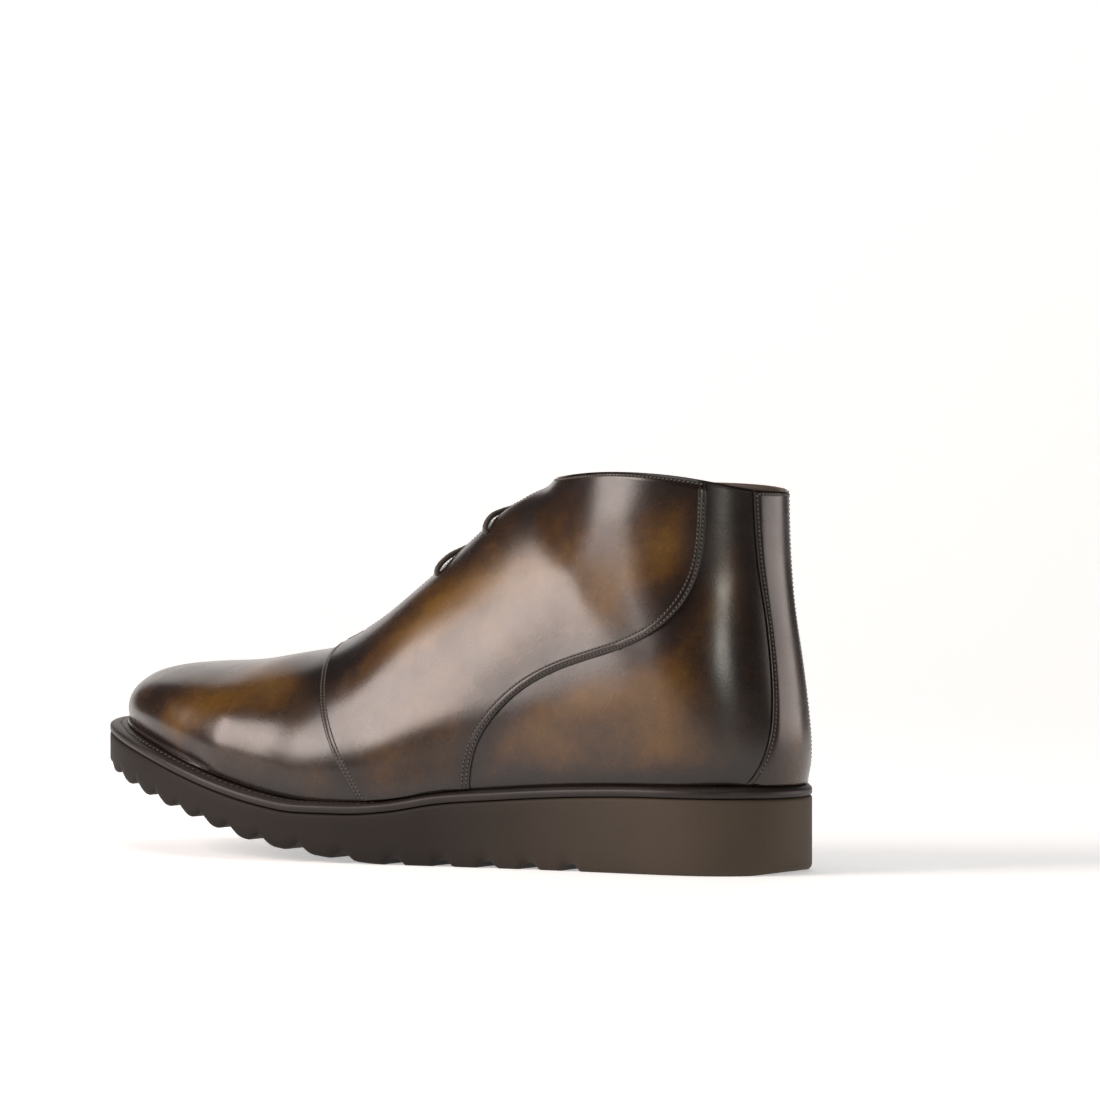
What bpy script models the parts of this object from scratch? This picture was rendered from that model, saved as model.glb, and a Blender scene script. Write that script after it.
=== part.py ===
"""Chukka boot, left shoe, standing empty on its sole. +X is the toe, +Y the outer side, metres."""
import bpy
import bmesh
import numpy as np
from mathutils import Matrix

MM = 0.001

# Driving sizes of the boot in millimetres
SOLE_LENGTH = 305.0
BALL_WIDTH = 104.0
BOOT_HEIGHT = 142.0
WALL = 1.7
PANEL_THICKNESS = 1.1
STRIP_THICKNESS = 1.0
GAP = 0.3
SOLE_GAP = 0.5
FOOT_GAP = 0.45
PANEL_GAP = 0.85
PANEL_FOOT = 0.16
STRIP_GAP = 0.95
STRIP_FLARE = 0.6
WELT_EDGE = 2.5
WELT_BEVEL = 1.3
WELT_TUCK = 2.9
GROOVE_DEPTH = 3.2
GROOVE_HALF_WIDTH = 4.0
SOLE_ROUNDING = 1.6
INSOLE_RISE = 1.2
SLIT_HALF_WIDTH = 7.5
TONGUE_THICKNESS = 2.2
TONGUE_DROP = 3.5
LACE_RADIUS = 1.2
HOLE_RADIUS = 2.3
HOLE_FROM_MIDLINE = 14.5
PUNCH_DEPTH = 14.0

# Outsole outline seen from above: place from heel to toe, outer and inner half width
# place is a share of SOLE_LENGTH, widths are shares of BALL_WIDTH
OUTLINE = (
    # place, outer, inner
    (0.000, 0.000, 0.000),
    (0.005, 0.097, 0.097),
    (0.020, 0.188, 0.188),
    (0.050, 0.270, 0.270),
    (0.100, 0.322, 0.320),
    (0.150, 0.336, 0.334),
    (0.200, 0.344, 0.336),
    (0.300, 0.366, 0.325),
    (0.400, 0.409, 0.325),
    (0.500, 0.462, 0.352),
    (0.600, 0.508, 0.413),
    (0.650, 0.520, 0.450),
    (0.700, 0.520, 0.473),
    (0.750, 0.505, 0.480),
    (0.800, 0.472, 0.477),
    (0.850, 0.418, 0.452),
    (0.900, 0.338, 0.405),
    (0.950, 0.222, 0.325),
    (0.980, 0.112, 0.240),
    (0.995, 0.012, 0.143),
    (1.000, -0.058, 0.058),
)

# Outsole side profile: place, height of the top edge, height of the tread
# place is a share of SOLE_LENGTH, heights are shares of BOOT_HEIGHT
PROFILE = (
    # place, top, tread
    (0.00, 0.190, 0.010),
    (0.03, 0.192, 0.000),
    (0.14, 0.192, 0.000),
    (0.23, 0.187, 0.000),
    (0.34, 0.172, 0.000),
    (0.42, 0.157, 0.000),
    (0.48, 0.135, 0.000),
    (0.54, 0.126, 0.009),
    (0.60, 0.127, 0.026),
    (0.66, 0.145, 0.047),
    (0.72, 0.175, 0.080),
    (0.78, 0.211, 0.115),
    (0.84, 0.247, 0.149),
    (0.90, 0.278, 0.181),
    (0.95, 0.299, 0.206),
    (1.00, 0.315, 0.228),
)

# Middles of the cross grooves as shares of SOLE_LENGTH
GROOVES = (
    0.243, 0.298, 0.353, 0.410, 0.472, 0.538, 0.597, 0.651,
    0.698, 0.741, 0.782, 0.825, 0.869, 0.915, 0.957,
)

# Upper as a fan of sections, from the toe over the throat round to the collar
# ridge_x, foot_x: shares of SOLE_LENGTH; ridge_z, foot_z: shares of BOOT_HEIGHT (0 = on the welt)
# foot and belly half widths: shares of BALL_WIDTH, before the heel is rounded off
# belly_at: share of the way from foot to ridge
# round: power of the arch over the belly; mid: place of the middle line, share of BALL_WIDTH
SECTIONS = (
    # ridge_x, ridge_z, foot_x, foot_z, foot_out, foot_in, belly_out, belly_in, belly_at, round, mid
    (0.977, 0.385, 0.978, 0.000, -0.058, 0.058, -0.058, 0.058, 0.30, 2.0, -0.058),
    (0.965, 0.420, 0.965, 0.000, 0.055, 0.180, 0.067, 0.192, 0.32, 2.0, -0.056),
    (0.940, 0.450, 0.937, 0.000, 0.168, 0.279, 0.186, 0.297, 0.32, 2.1, -0.052),
    (0.902, 0.474, 0.890, 0.000, 0.288, 0.361, 0.306, 0.379, 0.30, 2.2, -0.048),
    (0.846, 0.489, 0.820, 0.000, 0.394, 0.418, 0.413, 0.436, 0.28, 2.2, -0.042),
    (0.770, 0.502, 0.728, 0.000, 0.460, 0.430, 0.480, 0.445, 0.28, 2.1, -0.036),
    (0.705, 0.523, 0.639, 0.000, 0.463, 0.394, 0.482, 0.413, 0.27, 2.0, -0.030),
    (0.640, 0.546, 0.523, 0.000, 0.430, 0.324, 0.446, 0.356, 0.26, 1.9, -0.024),
    (0.585, 0.602, 0.462, 0.000, 0.404, 0.303, 0.420, 0.341, 0.25, 1.9, -0.018),
    (0.528, 0.684, 0.377, 0.000, 0.361, 0.289, 0.380, 0.325, 0.25, 1.9, -0.012),
    (0.477, 0.766, 0.282, 0.000, 0.327, 0.291, 0.355, 0.326, 0.25, 1.9, -0.008),
    (0.435, 0.839, 0.190, 0.000, 0.312, 0.308, 0.348, 0.334, 0.25, 1.9, -0.004),
    (0.407, 0.889, 0.105, 0.000, 0.293, 0.293, 0.343, 0.337, 0.25, 1.9, 0.0),
    (0.388, 0.919, 0.046, 0.000, 0.296, 0.296, 0.340, 0.336, 0.26, 1.9, 0.0),
    (0.375, 0.936, 0.018, 0.000, 0.298, 0.298, 0.338, 0.336, 0.28, 2.0, 0.0),
    (0.367, 0.944, 0.0095, 0.224, 0.300, 0.300, 0.337, 0.335, 0.30, 2.0, 0.0),
    (0.356, 0.952, 0.0060, 0.338, 0.318, 0.318, 0.337, 0.335, 0.33, 2.0, 0.0),
    (0.345, 0.958, 0.0105, 0.458, 0.326, 0.326, 0.332, 0.331, 0.36, 2.0, 0.0),
    (0.335, 0.962, 0.0200, 0.600, 0.322, 0.322, 0.324, 0.324, 0.40, 2.0, 0.0),
    (0.326, 0.965, 0.0310, 0.775, 0.314, 0.314, 0.315, 0.315, 0.43, 2.0, 0.0),
    (0.318, 0.967, 0.0330, 0.958, 0.309, 0.309, 0.310, 0.310, 0.45, 2.0, 0.0),
)
THROAT = 7.0
HEEL_END = 15.0
COLLAR = 20.0
COLLAR_BOW_OUTER = 5.0
COLLAR_BOW_INNER = 2.0
HEEL_REACH_LOW = 35.0
HEEL_REACH_TOP = 41.0
HEEL_POWER = 2.05

# Seam where the side panel laps over the counter, side view, from the welt to the collar
# along is a share of SOLE_LENGTH, height a share of BOOT_HEIGHT
COUNTER_SEAM = (
    # along, height
    (0.391, 0.212),
    (0.387, 0.235),
    (0.382, 0.263),
    (0.375, 0.292),
    (0.350, 0.373),
    (0.295, 0.474),
    (0.228, 0.527),
    (0.184, 0.554),
    (0.150, 0.588),
    (0.119, 0.625),
    (0.100, 0.672),
    (0.087, 0.727),
    (0.081, 0.785),
    (0.078, 0.850),
)

# Back strip: share of the way from collar to welt and half width in millimetres
STRIP = (
    # down, half_width
    (0.00, 10.8),
    (0.35, 10.4),
    (0.60, 12.4),
    (0.80, 16.2),
    (0.93, 21.0),
    (1.00, 25.0),
)

# Welt shelf in front of the upper: place as a share of SOLE_LENGTH, width in millimetres
SHELF = (
    # place, width
    (0.000, 3.0),
    (0.295, 3.6),
    (0.656, 5.4),
    (0.902, 6.2),
    (1.000, 7.4),
)

# Tongue: section of the fan, half width in millimetres
TONGUE = (
    # section, half_width
    (6.2, 13.0),
    (9.0, 19.0),
    (14.0, 23.0),
    (19.6, 22.0),
)

# Colours and finish
BROWN = (0.085, 0.045, 0.025, 1.0)
COGNAC = (0.17, 0.082, 0.028, 1.0)
DARK = (0.035, 0.024, 0.02, 1.0)


def clear_scene():
    """Start from an empty scene."""
    for item in list(bpy.data.objects):
        bpy.data.objects.remove(item, do_unlink=True)


def smooth_table(keys, values, at):
    """Cubic through the rows: h00*a + h10*d*ma + h01*b + h11*d*mb with limited slopes m."""
    keys = np.asarray(keys, float)
    values = np.asarray(values, float)
    at = np.clip(np.asarray(at, float), keys[0], keys[-1])
    steps = np.diff(keys)
    rises = np.diff(values) / steps
    slopes = np.zeros_like(values)
    before, after = rises[:-1], rises[1:]
    same = before * after > 0
    mean = (steps[1:] * before + steps[:-1] * after) / (steps[1:] + steps[:-1])
    cap = 3.0 * np.minimum(abs(before), abs(after))
    slopes[1:-1] = np.where(same, np.sign(mean) * np.minimum(abs(mean), cap), 0.0)
    slopes[0] = rises[0]
    slopes[-1] = rises[-1]
    k = np.clip(np.searchsorted(keys, at, side="right") - 1, 0, len(steps) - 1)
    d = steps[k]
    t = (at - keys[k]) / d
    h00 = 2 * t**3 - 3 * t**2 + 1
    h10 = t**3 - 2 * t**2 + t
    h01 = 3 * t**2 - 2 * t**3
    h11 = t**3 - t**2
    return h00 * values[k] + h10 * d * slopes[k] + h01 * values[k + 1] + h11 * d * slopes[k + 1]


OUTLINE_ROWS = np.array(OUTLINE)
PROFILE_ROWS = np.array(PROFILE)
SECTION_ROWS = np.array(SECTIONS)


def outline_half(along, column):
    """Half width of the outsole at a place along it, column 1 outer and 2 inner."""
    share = np.asarray(along) / SOLE_LENGTH
    return smooth_table(OUTLINE_ROWS[:, 0], OUTLINE_ROWS[:, column], share) * BALL_WIDTH


def sole_top(along):
    """Height of the outsole's top edge at a place along it."""
    share = np.asarray(along) / SOLE_LENGTH
    return smooth_table(PROFILE_ROWS[:, 0], PROFILE_ROWS[:, 1], share) * BOOT_HEIGHT


def sole_tread(along):
    """Height of the tread: base + depth * (1 - u*u)**2 inside each groove, u = offset / half width."""
    along = np.asarray(along, float)
    base = smooth_table(PROFILE_ROWS[:, 0], PROFILE_ROWS[:, 2], along / SOLE_LENGTH) * BOOT_HEIGHT
    cut = np.zeros_like(along)
    for share in GROOVES:
        u = np.clip(abs(along - share * SOLE_LENGTH) / GROOVE_HALF_WIDTH, 0.0, 1.0)
        cut = cut + GROOVE_DEPTH * (1.0 - u * u)**2
    return base + cut


def welt_top(along):
    """Height of the welt where the upper stands on it."""
    return sole_top(along) + SOLE_GAP + WELT_EDGE + WELT_BEVEL


def section_value(s, column):
    """One column of the fan table at section s."""
    rows = np.arange(len(SECTION_ROWS))
    return smooth_table(rows, SECTION_ROWS[:, column], s)


def back_line(height):
    """How far forward of the sole's end the back seam stands at a height."""
    rows = SECTION_ROWS[int(HEEL_END):]
    share = np.asarray(height) / BOOT_HEIGHT
    return smooth_table(rows[:, 3], rows[:, 2], share) * SOLE_LENGTH


def heel_round(x, z):
    """Share of the side width left near the back: (1 - u**p)**(1/p), u = distance inside the reach."""
    reach = HEEL_REACH_LOW + (HEEL_REACH_TOP - HEEL_REACH_LOW) * np.clip(z / BOOT_HEIGHT, 0.0, 1.0)
    u = np.clip((back_line(z) + reach - x) / reach, 0.0, 1.0)
    return (1.0 - u**HEEL_POWER)**(1.0 / HEEL_POWER)


def form(s, a, side):
    """Outer face of the upper. s runs along the fan, a = 0 foot, 1 belly, 2 ridge.

    point = foot + v * (ridge - foot), half width
    w = foot_w + (belly_w - foot_w) * sin(a*90)**(2/2.2) below the belly
    w = belly_w * cos((a-1)*90)**(2/round) above it, both times heel_round;
    side is +1 outer, -1 inner.
    """
    s, a = np.broadcast_arrays(np.asarray(s, float), np.asarray(a, float))
    ridge_x = section_value(s, 0) * SOLE_LENGTH
    ridge_z = section_value(s, 1) * BOOT_HEIGHT
    foot_x = section_value(s, 2) * SOLE_LENGTH
    heel_z = welt_top(foot_x) + FOOT_GAP
    back_z = section_value(s, 3) * BOOT_HEIGHT
    back_z = np.maximum(back_z, heel_z)
    foot_z = np.where(s < HEEL_END, heel_z, back_z)
    foot_x = np.where(s < HEEL_END, foot_x, back_line(back_z))
    foot_column, belly_column = (4, 6) if side > 0 else (5, 7)
    mid = section_value(s, 10) * BALL_WIDTH
    foot_w = section_value(s, foot_column) * BALL_WIDTH - side * mid
    belly_w = section_value(s, belly_column) * BALL_WIDTH - side * mid
    foot_w = np.maximum(foot_w, 0.0)
    belly_w = np.maximum(belly_w, 0.0)
    belly_at = section_value(s, 8)
    power = section_value(s, 9)
    quarter = np.pi / 2
    low = np.clip(a, 0.0, 1.0) * quarter
    high = np.clip(a - 1.0, 0.0, 1.0) * quarter
    v_low = belly_at * (1.0 - np.cos(low)**(2 / 2.2))
    w_low = foot_w + (belly_w - foot_w) * np.sin(low)**(2 / 2.2)
    v_high = belly_at + (1.0 - belly_at) * np.sin(high)**(2 / power)
    w_high = belly_w * np.maximum(np.cos(high), 0.0)**(2 / power)
    v = np.where(a <= 1.0, v_low, v_high)
    w = np.where(a <= 1.0, w_low, w_high)
    w = np.where(a >= 2.0, 0.0, w)
    top_bow = COLLAR_BOW_OUTER if side > 0 else COLLAR_BOW_INNER
    bow = top_bow * np.clip((s - THROAT) / (COLLAR - THROAT), 0.0, 1.0)**2
    x = foot_x + v * (ridge_x - foot_x)
    z = foot_z + v * (ridge_z - foot_z) + bow * 4.0 * v * (1.0 - v)
    closed = (a <= 0.0) & (s >= HEEL_END)
    y = mid + side * np.where(closed, 0.0, w * heel_round(x, z))
    return np.stack([x, y, z], axis=-1)


def form_normal(s, a, side):
    """Outward direction of the form: cross product of its two small steps."""
    step = 0.02
    s, a = np.broadcast_arrays(np.asarray(s, float), np.asarray(a, float))
    tip = s <= 0.0
    s = np.maximum(s, 0.15)
    s0, s1 = np.clip(s - step, 0.0, COLLAR), np.clip(s + step, 0.0, COLLAR)
    a0, a1 = np.clip(a - step, 0.0, 2.0), np.clip(a + step, 0.0, 2.0)
    along = form(s1, a, side) - form(s0, a, side)
    up = form(s, a1, side) - form(s, a0, side)
    normal = np.cross(along, up) * side
    rise = form(np.zeros_like(s), a1, side) - form(np.zeros_like(s), a0, side)
    zero = np.zeros_like(s)
    over_ridge = np.stack([along[..., 2], zero, -along[..., 0]], axis=-1)
    down_back = np.stack([-along[..., 2], zero, along[..., 0]], axis=-1)
    round_tip = np.stack([rise[..., 2], zero, -rise[..., 0]], axis=-1)
    normal = np.where((a >= 2.0)[..., None], over_ridge, normal)
    normal = np.where(((a <= 0.0) & (s >= HEEL_END))[..., None], down_back, normal)
    normal = np.where(tip[..., None], round_tip, normal)
    return normal / np.linalg.norm(normal, axis=-1, keepdims=True)


def skin(s, a, side, offset):
    """Form moved outward by offset along its own normal."""
    return form(s, a, side) + form_normal(s, a, side) * np.asarray(offset)[..., None]


def angle_at(s, side, distance):
    """The a above the belly at which the form stands this far from its middle line."""
    column = 6 if side > 0 else 7
    mid = section_value(s, 10) * BALL_WIDTH
    belly = section_value(s, column) * BALL_WIDTH - side * mid
    power = section_value(s, 9)
    share = np.clip(np.asarray(distance) / np.maximum(belly, 1.0), 0.0, 1.0)
    return 1.0 + np.arccos(share**(power / 2)) / (np.pi / 2)


def top_edge(s, side):
    """The a of the facing's edge: the slit opens over the first section behind the throat."""
    grow = np.clip((np.asarray(s, float) - THROAT) / 1.2, 0.0, 1.0)
    half = SLIT_HALF_WIDTH * np.sqrt(1.0 - (1.0 - grow)**2)
    round_off = 4.0 * np.clip(np.asarray(s) - (COLLAR - 3.0), 0.0, 3.0)**2 / 9.0
    return np.where(np.asarray(s) <= THROAT, 2.0, angle_at(s, side, half + round_off))


def to_mesh(name, points, faces, material):
    """One closed mesh object from millimetre points, welded and facing outward."""
    mesh = bpy.data.meshes.new(name)
    mesh.from_pydata((np.asarray(points) * MM).tolist(), [], faces)
    bm = bmesh.new()
    bm.from_mesh(mesh)
    bmesh.ops.remove_doubles(bm, verts=bm.verts, dist=0.00001)
    bmesh.ops.dissolve_degenerate(bm, edges=bm.edges, dist=0.000005)
    loose = [v for v in bm.verts if not v.link_faces]
    bmesh.ops.delete(bm, geom=loose, context="VERTS")
    bmesh.ops.triangulate(bm, faces=bm.faces)
    bmesh.ops.recalc_face_normals(bm, faces=bm.faces)
    if bm.calc_volume(signed=True) < 0:
        bmesh.ops.reverse_faces(bm, faces=bm.faces)
    bm.to_mesh(mesh)
    bm.free()
    item = bpy.data.objects.new(name, mesh)
    bpy.context.scene.collection.objects.link(item)
    item.data.materials.append(material)
    for polygon in item.data.polygons:
        polygon.use_smooth = True
    return item


def grid_faces(rows, columns, start=0, flip=False):
    """Quads of a rows by columns grid of points."""
    faces = []
    for i in range(rows - 1):
        for j in range(columns - 1):
            k = start + i * columns + j
            quad = (k, k + 1, k + columns + 1, k + columns)
            faces.append(quad[::-1] if flip else quad)
    return faces


def slab(outer, inner):
    """Closed slab between two grids of the same shape: both faces and the four edge strips."""
    rows, columns = outer.shape[:2]
    count = rows * columns
    points = np.concatenate([outer.reshape(-1, 3), inner.reshape(-1, 3)])
    faces = grid_faces(rows, columns) + grid_faces(rows, columns, count, True)
    index = np.arange(count).reshape(rows, columns)
    ring = np.concatenate([index[0, :-1], index[:-1, -1], index[-1, :0:-1], index[:0:-1, 0]])
    for a, b in zip(ring, np.roll(ring, -1)):
        faces.append((int(b), int(a), int(a) + count, int(b) + count))
    return points, faces


def lofted(loops):
    """Closed body through loops of points; end loops are filled with a fan."""
    rows, columns = loops.shape[:2]
    points = list(loops.reshape(-1, 3))
    faces = []
    for i in range(rows - 1):
        for j in range(columns):
            k = (j + 1) % columns
            faces.append((i * columns + j, i * columns + k, (i + 1) * columns + k, (i + 1) * columns + j))
    for i in (0, rows - 1):
        points.append(loops[i].mean(axis=0))
        for j in range(columns):
            faces.append((i * columns + j, i * columns + (j + 1) % columns, len(points) - 1))
    return np.array(points), faces


def make_material(name, colour, roughness):
    """Plain Principled material."""
    material = bpy.data.materials.new(name)
    material.use_nodes = True
    shader = material.node_tree.nodes["Principled BSDF"]
    shader.inputs["Base Color"].default_value = colour
    shader.inputs["Roughness"].default_value = roughness
    return material


def outline_loop(count):
    """Points once round the outsole outline and their outward directions, heel to toe and back."""
    theta = np.linspace(0.0, np.pi, count // 2 + 1)
    along = SOLE_LENGTH * (1.0 - np.cos(theta)) / 2
    outer = np.stack([along, outline_half(along, 1)], axis=1)
    inner = np.stack([along, -outline_half(along, 2)], axis=1)
    loop = np.concatenate([outer[:-1], inner[:0:-1]])
    tangent = np.roll(loop, -1, axis=0) - np.roll(loop, 1, axis=0)
    normal = np.stack([-tangent[:, 1], tangent[:, 0]], axis=1)
    normal = normal / np.linalg.norm(normal, axis=1, keepdims=True)
    return loop, normal


def shelf_width(along):
    """How far the upper's foot stands in from the sole's edge: wide in front, narrow at the heel."""
    rows = np.array(SHELF)
    return smooth_table(rows[:, 0], rows[:, 1], np.asarray(along) / SOLE_LENGTH)


def build_outsole(material):
    """Wedge lofted from heel to toe, each station a loop: tread, outer side, top, inner side."""
    theta = np.linspace(0.0, np.pi, 26)
    ends = SOLE_LENGTH * (1.0 - np.cos(theta)) / 2
    spread = np.array([-1.0, -0.55, 0.0, 0.55, 1.0]) * GROOVE_HALF_WIDTH
    marks = [share * SOLE_LENGTH + place for share in GROOVES for place in spread]
    first, last = marks[0] - 2.0, marks[-1] + 2.0
    along = np.array(sorted([x for x in ends if x < first or x > last] + marks))
    outer = outline_half(along, 1)
    inner = -outline_half(along, 2)
    tread = sole_tread(along)
    top = sole_top(along)
    half = (outer - inner) / 2
    middle = (outer + inner) / 2
    tuck = np.minimum(SOLE_ROUNDING, half * 0.8)
    loops = []
    for share in (-1.0, -0.45, 0.45, 1.0):
        width = middle + share * (half - tuck)
        loops.append(np.stack([along, width, tread], axis=1))
    for share in (0.0, 1.0):
        height = (tread + SOLE_ROUNDING) * (1 - share) + top * share
        loops.append(np.stack([along, outer, height], axis=1))
    loops.append(np.stack([along, middle, top], axis=1))
    for share in (1.0, 0.0):
        height = (tread + SOLE_ROUNDING) * (1 - share) + top * share
        loops.append(np.stack([along, inner, height], axis=1))
    points, faces = lofted(np.stack(loops, axis=1))
    return to_mesh("outsole", points, faces, material)


def build_welt(material):
    """Ring on the outsole: upright edge, bevel, flat shelf under the upper, open inside."""
    loop, normal = outline_loop(92)
    shelf = shelf_width(loop[:, 0])
    rows = []
    for inset, height in (
        (np.zeros(len(loop)), 0.0),
        (np.zeros(len(loop)), WELT_EDGE),
        (shelf * 0.5, WELT_EDGE + WELT_BEVEL),
        (shelf + WELT_TUCK, WELT_EDGE + WELT_BEVEL),
        (shelf + WELT_TUCK, 0.0),
    ):
        place = loop + normal * (-inset)[:, None]
        rows.append(np.column_stack([place, sole_top(place[:, 0]) + SOLE_GAP + height]))
    ring = np.stack(rows, axis=1)
    count, columns = ring.shape[:2]
    faces = []
    for i in range(count):
        for j in range(columns):
            n, k = (i + 1) % count, (j + 1) % columns
            faces.append((i * columns + j, n * columns + j, n * columns + k, i * columns + k))
    return to_mesh("welt", ring.reshape(-1, 3), faces, material)


def build_insole(material):
    """Board that fills the inside of the welt and stands a little above it."""
    loop, normal = outline_loop(76)
    inset = shelf_width(loop[:, 0]) + WELT_TUCK + GAP
    edge = loop - normal * inset[:, None]
    base = sole_top(edge[:, 0]) + SOLE_GAP
    rise = WELT_EDGE + WELT_BEVEL + INSOLE_RISE
    points, faces = [], []
    for height in (0.0, rise):
        points.append(np.column_stack([edge, base + height]))
    count = len(loop)
    points = np.concatenate(points)
    for i in range(count):
        k = (i + 1) % count
        faces.append((i, k, count + k, count + i))
    half = count // 2
    for level, flip in ((0, True), (count, False)):
        for i in range(half):
            a, b = i, (i + 1) % count
            c, d = (count - i) % count, (count - i - 1) % count
            quad = [level + n for n in (a, b, d, c)]
            quad = list(dict.fromkeys(quad))
            faces.append(tuple(quad[::-1] if flip else quad))
    return to_mesh("insole", points, faces, material)


UPPER_ROWS = np.array(
    [0.0, 0.35, 0.7, 1.0, 1.5, 2.0, 2.5, 3.0, 3.7, 4.4, 5.2, 6.0, 6.6, 7.0, 7.08, 7.25, 7.6, 8.2, 9.0, 9.8]
    + [10.6, 11.3, 12.0, 12.5, 13.0, 13.4, 13.8, 14.2, 14.6, 14.85, 15.0, 15.6, 16.3, 17.0, 17.7, 18.4]
    + [19.0, 19.5, 20.0]
)
UPPER_COLUMNS = 13


def half_grid(side, offset):
    """Points of one side of the upper at an offset, rows along the fan, columns foot to top."""
    s = UPPER_ROWS[:, None]
    share = np.linspace(0.0, 1.0, UPPER_COLUMNS)[None, :]
    a = share * top_edge(s, side)
    return skin(s, a, side, np.full(np.broadcast(s, a).shape, offset))


def build_upper(material):
    """One hollow shell: outer and inner wall of both sides, joined along every open edge."""
    points, faces, start = [], [], 0
    rows, columns = len(UPPER_ROWS), UPPER_COLUMNS
    throat_row = int(np.argmax(UPPER_ROWS >= THROAT))
    heel_row = int(np.argmax(UPPER_ROWS >= HEEL_END))
    for side in (1, -1):
        outer = half_grid(side, 0.0)
        inner = half_grid(side, -WALL)
        inner[:heel_row + 1, 0, 2] = outer[:heel_row + 1, 0, 2]
        index = np.arange(rows * columns).reshape(rows, columns)
        faces += grid_faces(rows, columns, start)
        faces += grid_faces(rows, columns, start + rows * columns)
        edges = [(index[i, 0], index[i + 1, 0]) for i in range(heel_row)]
        edges += [(index[i, -1], index[i + 1, -1]) for i in range(throat_row, rows - 1)]
        edges += [(index[-1, j], index[-1, j + 1]) for j in range(columns - 1)]
        for a, b in edges:
            a, b = int(a) + start, int(b) + start
            faces.append((a, b, b + rows * columns, a + rows * columns))
        points += [outer.reshape(-1, 3), inner.reshape(-1, 3)]
        start += 2 * rows * columns
    return to_mesh("upper", np.concatenate(points), faces, material)


def locate(along, height, side):
    """Section and a of a place in the side view, by halving first s and then a."""
    low, high = THROAT * 1.0, COLLAR * 1.0
    for _ in range(40):
        s = (low + high) / 2
        foot = form(s, 0.0, side)
        ridge = form(s, 2.0, side)
        turn = (ridge[0] - foot[0]) * (height - foot[2]) - (ridge[2] - foot[2]) * (along - foot[0])
        low, high = (s, high) if turn > 0 else (low, s)
    s = (low + high) / 2
    foot, ridge = form(s, 0.0, side), form(s, 2.0, side)
    share = np.dot([along - foot[0], height - foot[2]], [ridge[0] - foot[0], ridge[2] - foot[2]])
    share = share / ((ridge[0] - foot[0])**2 + (ridge[2] - foot[2])**2)
    low, high = 0.0, 2.0
    for _ in range(40):
        a = (low + high) / 2
        place = form(s, a, side)
        done = np.dot([place[0] - foot[0], place[2] - foot[2]], [ridge[0] - foot[0], ridge[2] - foot[2]])
        done = done / ((ridge[0] - foot[0])**2 + (ridge[2] - foot[2])**2)
        low, high = (a, high) if done < share else (low, a)
    return s, (low + high) / 2


def resample(curve, count):
    """Points at equal steps along a polyline of (s, a) pairs."""
    curve = np.asarray(curve, float)
    length = np.concatenate([[0.0], np.cumsum(np.linalg.norm(np.diff(curve, axis=0) * [1.0, 8.0], axis=1))])
    at = np.linspace(0.0, length[-1], count)
    return np.stack([np.interp(at, length, curve[:, k]) for k in (0, 1)], axis=1)


def panel_grid(side, across, along):
    """Side panel in (s, a), ruled between its front curve and the counter seam.

    The front curve climbs the vamp seam to the throat and goes on up the facing, so the first
    ruling is the foot and the last one the collar: place = front * (1 - u) + rear * u.
    """
    start, end = THROAT + 0.03, COLLAR - 0.012
    climb = [(start, a) for a in np.linspace(PANEL_FOOT, 1.9, 6)]
    facing_s = np.append(THROAT + 0.35, np.linspace(THROAT + 1.0, end, 13))
    facing = [(s, float(top_edge(s, side)) - 0.004) for s in facing_s]
    front = resample(climb + facing, along)
    rows = np.array(COUNTER_SEAM)
    at = np.linspace(0.0, len(rows) - 1.0, along - 2)
    places = [smooth_table(np.arange(len(rows)), rows[:, k], at) for k in (0, 1)]
    seam = [locate(x * SOLE_LENGTH, z * BOOT_HEIGHT, side) for x, z in zip(*places)]
    rear = np.array([(seam[0][0], PANEL_FOOT)] + seam + [(end, seam[-1][1])])
    u = np.linspace(0.0, 1.0, across)[None, :, None]
    return front[:, None] * (1.0 - u) + rear[:, None] * u


def build_quarter(name, side, material):
    """Side panel: the form's own face between two offsets, inside the four edges."""
    place = panel_grid(side, 13, 26)
    s, a = place[..., 0], place[..., 1]
    outer = skin(s, a, side, np.full(s.shape, PANEL_GAP + PANEL_THICKNESS))
    inner = skin(s, a, side, np.full(s.shape, PANEL_GAP))
    for face in (outer, inner):
        face[..., 2] = np.maximum(face[..., 2], welt_top(face[..., 0]) + FOOT_GAP)
        face[0, :, 2] = welt_top(face[0, :, 0]) + FOOT_GAP
    points, faces = slab(outer, inner)
    return to_mesh(name, points, faces, material)


def angle_below(s, side, distance):
    """The a at or below the belly at which the form stands this far out, found by halving."""
    low, high = np.zeros(np.shape(s)), np.ones(np.shape(s))
    for _ in range(30):
        a = (low + high) / 2
        near = abs(form(s, a, side)[..., 1]) < distance
        low, high = np.where(near, a, low), np.where(near, high, a)
    return (low + high) / 2


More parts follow.
